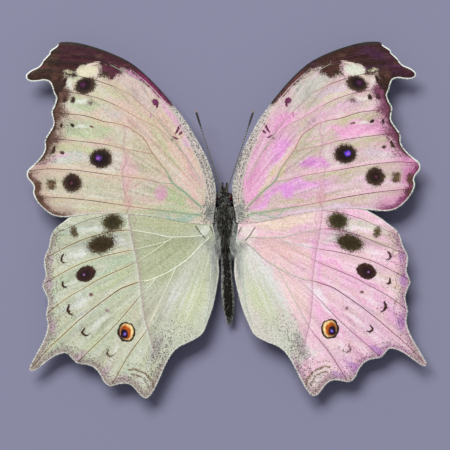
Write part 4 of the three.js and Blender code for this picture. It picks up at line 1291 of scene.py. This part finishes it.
# The neck and the shoulder flaps: soft skin between head and thorax, and a small domed scaly flap over
# the root of each forewing.
flap_radii = (0.5, 0.95, 0.4)
soft_parts = (("neck", (0.06, 2.45, 2.9), (0.8, 0.9, 0.95)),
              ("left_shoulder_flap", (-1.5, 0.7, 3.95), flap_radii),
              ("right_shoulder_flap", (1.5, 0.7, 3.95), flap_radii))
for name, centre, radii in soft_parts:
    mesh = ball(centre, radii)
    tint_evenly(mesh, (34, 30, 25))
    roots, facing = scattered(mesh, 1500)
    mesh.vertices.foreach_set("co", (corners_of(mesh) * MM).ravel())
    piece = finished(mesh, name, scaly_skin)
    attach(piece, "root")
    roots, facing = roots[facing[:, 2] > -0.3], facing[facing[:, 2] > -0.3]
    aims = 0.5 * facing + [0, -0.8, 0.1] + draw.normal(0, 0.25, roots.shape)
    shares = np.tile([1.2, 0.7, 0.5, 0.25], (len(roots), 1))
    coat(f"{name}_hair", roots, aims, draw.uniform(0.4, 0.9, len(roots)), 0.03,
         blend_of(shares, *all_hair))

# The abdomen: eight overlapping rings of dark scales that narrow to a blunt tip, with a thin coat of
# short hairs that shows pale along the sides. It bends a little to one side and sags towards its tip.
abdomen_start, abdomen_end = -6.2, -22.0
abdomen_bend, abdomen_height, abdomen_sag = 0.43, 2.75, 1.0
abdomen_hairs = 10000
abdomen_widths = [(0.3, 0.0), (0.62, 0.008), (0.9, 0.04), (0.97, 0.22), (1.02, 0.36), (1.17, 0.5),
                  (1.24, 0.64), (1.1, 0.78), (0.78, 0.895), (0.42, 0.975), (0.12, 0.996), (0, 1.0)]
ring_joints = (0.12, 0.26, 0.4, 0.53, 0.65, 0.77, 0.87)


def bent_back(co):
    """Sets places of a straight abdomen, whose Y is the share along it, on its bent axis."""
    share = np.clip(co[:, 1], 0, 1)
    rise = abdomen_height - abdomen_sag * share**2
    return np.column_stack([co[:, 0] + abdomen_bend * share**1.4,
                            abdomen_start + (abdomen_end - abdomen_start) * share,
                            1.12 * co[:, 2] + rise])


dense = smooth_line(abdomen_widths, 4)
shares = np.unique(np.concatenate([np.linspace(0, 1, 90),
                                   *[(joint, joint + 0.006) for joint in ring_joints]]))
widths = np.interp(shares, dense[:, 1], dense[:, 0])
before = np.array([max([0.0, *[joint for joint in ring_joints if joint < share - 1e-9]])
                   for share in shares])
widths = widths * (0.9 + 0.06 * smooth(0, 0.11, shares - before))
profile = [(0, 0), *zip(widths[1:-1], shares[1:-1]), (0, 1)]
abdomen_mesh = turned(profile)
co = bent_back(corners_of(abdomen_mesh))
abdomen_mesh.vertices.foreach_set("co", co.ravel())
abdomen_mesh.flip_normals()
tint = np.tile(linear((26, 23, 19)), (len(co), 1))
lay(tint, 0.7 * smooth(0.75, 1.1, np.abs(co[:, 0] - 0.25)), (96, 94, 86))
lay(tint, 0.7 * fade(1.6, 2.4, co[:, 2]), (122, 116, 100))
set_attribute(abdomen_mesh, "ground", tint)
roots, facing = scattered(abdomen_mesh, abdomen_hairs)
claimed(abdomen_mesh, "abdomen_rings", scaly_skin, "abdomen")
side_on = smooth(0.55, 0.95, np.abs(facing[:, 0]))
waist = smooth(-8.9, -7.4, roots[:, 1])
tail_end = smooth(-19.6, -21.6, roots[:, 1])
aims = (0.28 + 0.25 * side_on)[:, None] * facing + [0, -1, 0] + draw.normal(0, 0.14, roots.shape)
clump = smooth(0.68, 0.88, drift(roots[:, :2] / (0.3, 0.35), 33))
shares = np.column_stack([7 - 6.4 * side_on, np.full(len(roots), 1.6),
                          1.6 * clump + 1.2 * side_on + 1.2 * waist,
                          0.35 * clump + 2.4 * side_on + 0.4 * waist + 1.6 * tail_end])
coat("abdomen_hair", roots, aims, draw.uniform(0.18, 0.36, len(roots)) * (1 + waist), 0.03,
     blend_of(shares, *all_hair))

# The head: a small round head sunk in brown and grey hair that is brushed forward and outward.
head_centre, head_radii = np.array((0.12, 3.75, 3.05)), np.array((1.2, 1.2, 1.15))
head_hairs, brow_hairs = 3600, 420
head_mesh = ball(head_centre, head_radii * 0.88)
tint_evenly(head_mesh, (50, 44, 36))
roots, facing = scattered(head_mesh, head_hairs)
claimed(head_mesh, "head_ball", scaly_skin, "head")
kept = (roots[:, 2] > 2.4) & (facing[:, 0] < 0.35)
roots, facing = roots[kept], facing[kept]
aims = 0.8 * facing + [0, 0.25, 0.1] + draw.normal(0, 0.3, roots.shape)
clump = smooth(0.4, 0.75, drift(roots[:, :2] / 0.3, 35))[:, None]
shares = np.hstack([1.1 - 0.7 * clump, 0.9 + 0.4 * clump, 0.5 + 0.8 * clump, 0.2 + 0.5 * clump])
coat("head_hair", roots, aims, draw.uniform(0.4, 0.9, len(roots)), 0.036,
     blend_of(shares, *all_hair), (0, 0, -0.1))

# Longer hair over the left brow, combed outwards, which covers most of the eye on that side.
count = brow_hairs
roots = head_centre + np.column_stack([draw.uniform(-0.75, -0.15, count), draw.uniform(-0.9, 0.4, count),
                                       draw.uniform(0.8, 1.0, count)])
aims = np.column_stack([draw.uniform(-1.4, -0.4, count), draw.uniform(-0.4, 0.9, count),
                        draw.normal(0.1, 0.12, count)])
shares = np.tile([1.6, 0.8, 0.6, 0.2], (count, 1))
coat("brow_hair", roots, aims, draw.uniform(0.8, 1.4, count), 0.036,
     blend_of(shares, *all_hair), (0, 0, -0.35))

# The eyes: two large compound eyes of dark red-brown facets, one each side of the head, dried and
# slightly glossy.
eye_radii, eye_offset = (0.66, 0.83, 0.88), np.array((1.12, -0.2, 0.15))
eye_material, tree, shader = new_material("compound_eye", (70, 20, 24), 0.28, Specular_IOR_Level=0.5)
place = linked(tree, "ShaderNodeTexCoord").outputs["Object"]
facets = linked(tree, "ShaderNodeTexVoronoi", {"Vector": place, "Scale": 11000}).outputs["Distance"]
depth = linked(tree, "ShaderNodeTexNoise", {"Vector": place, "Scale": 900, "Detail": 1}).outputs["Fac"]
deep, bright = (*linear((30, 9, 11)), 1), (*linear((82, 22, 25)), 1)
tree.links.new(mixed(tree, ramped(tree, depth, 0.35, 0.65), deep, bright), shader.inputs["Base Color"])
relief(tree, shader, facets, 0.5, 0.02)
for side, hand in (("left", -1), ("right", 1)):
    centre = head_centre + eye_offset * (hand, 1, 1)
    claimed(ball(centre, eye_radii, 5), f"{side}_eye_facets", eye_material, f"{side}_eye")

# The palps: a pair of scaly feelers that stick out in front of the face like spikes, dark with pale
# bristles along them.
palp_line = np.array([(0.0, 4.7, 2.5), (0.0, 4.95, 2.6), (0.0, 5.6, 3.0), (0.08, 6.4, 3.6)])
for side, hand in (("left", -1), ("right", 1)):
    line = smooth_line(palp_line + [0.12 + 0.43 * hand, 0, 0], 8)
    share = np.linspace(0, 1, len(line))
    mesh = tubes("palp", [line], [0.23 * (1 - 0.75 * share**2)], 4)
    tint_evenly(mesh, (42, 36, 30))
    roots, facing = scattered(mesh, 700)
    claimed(mesh, f"{side}_palp_core", scaly_skin, f"{side}_palp")
    aims = 0.35 * facing + [0, 0.85, 0.45] + draw.normal(0, 0.12, roots.shape)
    shares = np.tile([0.8, 0.7, 0.5, 0.5], (len(roots), 1))
    coat(f"{side}_palp_bristles", roots, aims, draw.uniform(0.25, 0.5, len(roots)), 0.018,
         blend_of(shares, *all_hair))

# The tongue: a tapering tube of chitin, ringed all along and coiled like a watch spring under the face,
# where the dried specimen keeps it.
chitin = tinted_material("dark_chitin", 0.38, 3500, 0.3, 0.45, 0.25)
tongue_steps, coil_radius, tongue_girth = 90, 0.72, 0.1
share = np.linspace(0, 1, tongue_steps)
turn, coil = np.pi * (0.62 - 3.6 * share), coil_radius * (1 - 0.74 * share)
line = np.column_stack([np.full(tongue_steps, 0.12), 4.95 + coil * np.cos(turn),
                        1.25 + coil * np.sin(turn)])
girth = tongue_girth * (1 - 0.4 * share) * (1 + 0.1 * np.cos(share * 260))
mesh = tubes("tongue", [line], [girth], 3)
tint_evenly(mesh, (92, 62, 40))
claimed(mesh, "coiled_tongue", chitin, "proboscis")

# The antennae: long thin jointed stalks of chitin, grey-brown with paler joints and swollen into a club at
# the end. They grow from the top of the head.
antenna_lines = {
    "left": [(-0.4, 4.75, 4.3), (-0.85, 6.0, 4.9), (-2.8, 12.5, 5.3), (-5.25, 21.2, 4.9)],
    "right": [(0.55, 4.75, 4.3), (1.15, 6.3, 4.9), (3.45, 12.5, 5.3), (6.4, 20.85, 4.9)],
}
antenna_joints = 46
stalk_girth, club_girth = 0.105, 0.11
for side, points in antenna_lines.items():
    line = smooth_line(points, 92)
    share = np.linspace(0, 1, len(line))
    joint = 0.5 + 0.5 * np.cos(2 * np.pi * antenna_joints * share)
    club = smooth(0.82, 0.93, share) * fade(0.975, 1.005, share)
    girth = stalk_girth + club_girth * club + 0.07 * fade(0, 0.03, share)
    girth = girth * (1 - 0.12 * joint) * np.where(share > 0.99, 0.6, 1)
    mesh = tubes("antenna", [line], [girth], 3)
    co = corners_of(mesh)
    which = np.argmin(np.abs(co[:, 1:2] - line[None, :, 1]), axis=1)
    tint = np.tile(linear((74, 72, 66)), (len(co), 1))
    lay(tint, 0.55 * joint[which], (150, 148, 126))
    lay(tint, smooth(0.83, 0.92, share[which]), (44, 36, 30))
    lay(tint, smooth(0.97, 0.99, share[which]), (150, 130, 98))
    set_attribute(mesh, "ground", tint)
    claimed(mesh, f"{side}_antenna_stalk", chitin, f"{side}_antenna")

# The legs: six jointed legs of dark chitin, folded in death. The front pair are short brushes held under
# the neck; the others have a thick thigh, a thin spiny shin and a jointed foot that ends in two claws.
leg_lines = {
    "foreleg": [(1.5, 1.75, 1.0), (1.95, 2.9, 0.75), (1.3, 3.9, 0.7), (0.75, 4.1, 0.6)],
    "midleg": [(2.05, 0.3, 1.2), (3.9, 1.7, 1.75), (5.7, 2.5, 1.6), (6.3, 1.9, 1.1), (6.2, -1.6, 0.3),
               (6.7, -3.6, 0.18), (7.4, -5.6, 0.15)],
    "hindleg": [(1.95, -3.6, 1.15), (3.3, -4.4, 1.6), (4.6, -5.3, 1.4), (4.8, -6, 1.0), (3.7, -9.6, 0.3),
                (3.6, -11.6, 0.18), (4.0, -13.8, 0.15)],
}
thigh_girth, shin_girth = 0.32, 0.13
leg_knots = ((0.33, 0.25), (0.66, 0.2), (0.76, 0.25), (0.84, 0.25), (0.92, 0.25))
for kind, points in leg_lines.items():
    for side, hand in (("left", -1), ("right", 1)):
        line = smooth_line(np.array(points) * (hand, 1, 1), 14)
        passed = np.concatenate([[0], np.cumsum(np.linalg.norm(np.diff(line, axis=0), axis=1))])
        share = passed / passed[-1]
        girth = thigh_girth + (shin_girth - thigh_girth) * smooth(0.3, 0.72, share)
        for knot, depth in leg_knots:
            girth = girth * (1 - depth * np.exp(-(((share - knot) / 0.008) ** 2)))
        girth = girth * (0.7 if kind == "foreleg" else 1) * np.where(share > 0.995, 0.5, 1)
        line[:, 2] = np.maximum(line[:, 2], girth + 0.02)
        mesh = tubes("leg", [line], [girth], 4)
        co = corners_of(mesh)
        tint = np.tile(linear((66, 54, 42)), (len(co), 1))
        lay(tint, 0.6 * smooth(0.8, 1.8, co[:, 2]), (104, 94, 78))
        set_attribute(mesh, "ground", tint)
        roots, facing = scattered(mesh, 1400 if kind == "foreleg" else 900)
        claimed(mesh, f"{side}_{kind}_joints", chitin, f"{side}_{kind}")
        nearest_step = np.argmin(np.linalg.norm(roots[:, None] - line[None], axis=2), axis=1)
        ahead = np.gradient(line, axis=0)[nearest_step]
        ahead /= np.linalg.norm(ahead, axis=1, keepdims=True)
        foot = smooth(0.36, 0.5, share[nearest_step])
        aims = (0.5 + 0.3 * foot)[:, None] * facing + ahead + draw.normal(0, 0.1, roots.shape)
        lengths = draw.uniform(0.2, 0.42, len(roots)) * (1.6 if kind == "foreleg" else 1)
        coat(f"{side}_{kind}_bristles", roots, aims, lengths, 0.014,
             blend_of(np.tile([1.0, 1.0, 0.6], (len(roots), 1)), dark_hair, brown_hair, grey_hair))
        if kind != "foreleg":
            end, last = line[-1], line[-1] - line[-4]
            sideways = np.array((last[1], -last[0], 0)) / np.linalg.norm(last)
            claws = np.array([last + sideways * np.linalg.norm(last) * lean for lean in (-0.8, 0.8)])
            coat(f"{side}_{kind}_claws", np.array([end, end]), claws, np.full(2, 0.32), 0.05,
                 np.tile(linear((46, 32, 24)), (2, 1)), (0, 0, -0.2))

# Silky hair on the wings themselves: grey tufts over the wing roots and a pale fleece along the inner
# margin of each hindwing, lying back along the wing.
fleece_areas = {
    "forewing": [(300, (2.5, 0.9), (0.45, 0.9), (1.0, -0.45), (0.5, 1.3), 0.5)],
    "hindwing": [(260, (2.6, -4.4), (0.5, 1.0), (0.75, -1.0), (0.8, 2.2), 0.35),
                 (260, (2.5, -9.0), (0.4, 4.0), (0.2, -1.0), (0.9, 2.0), 0.0),
                 (460, (2.25, -8.6), (0.3, 2.0), (-0.3, -1.0), (0.7, 1.8), 0.2)],
}
for kind, areas in fleece_areas.items():
    corners = rims[kind][:, 0]
    outline = corners[np.argsort(np.arctan2(*(corners - corners.mean(0)).T))]
    for side in ("left", "right"):
        for number, (count, middle, spread, heading, reach, dark_share) in enumerate(areas):
            at = draw.normal(middle, spread, (count, 2))
            kept = (at[:, 0] > 1.9) & inside(at, outline)
            at = at[kept]
            count = len(at)
            lean = np.array(heading) / np.hypot(*heading) + draw.normal(0, 0.16, (count, 2))
            length = draw.uniform(*reach, count)
            base = 0.0 if kind == "forewing" else 0.3
            roots = on_wing(kind, side, at, base) / MM
            tips = on_wing(kind, side, at + lean * length[:, None], base + 0.2 * length) / MM
            shares = np.tile([dark_share * 0.5, dark_share, 1.0 - 0.5 * dark_share], (count, 1))
            name = f"{side}_{kind}_fleece_{number + 1}"
            coat(name, roots, tips - roots, length, 0.016,
                 blend_of(shares, brown_hair, grey_hair, pale_hair), (0, 0, -0.1))
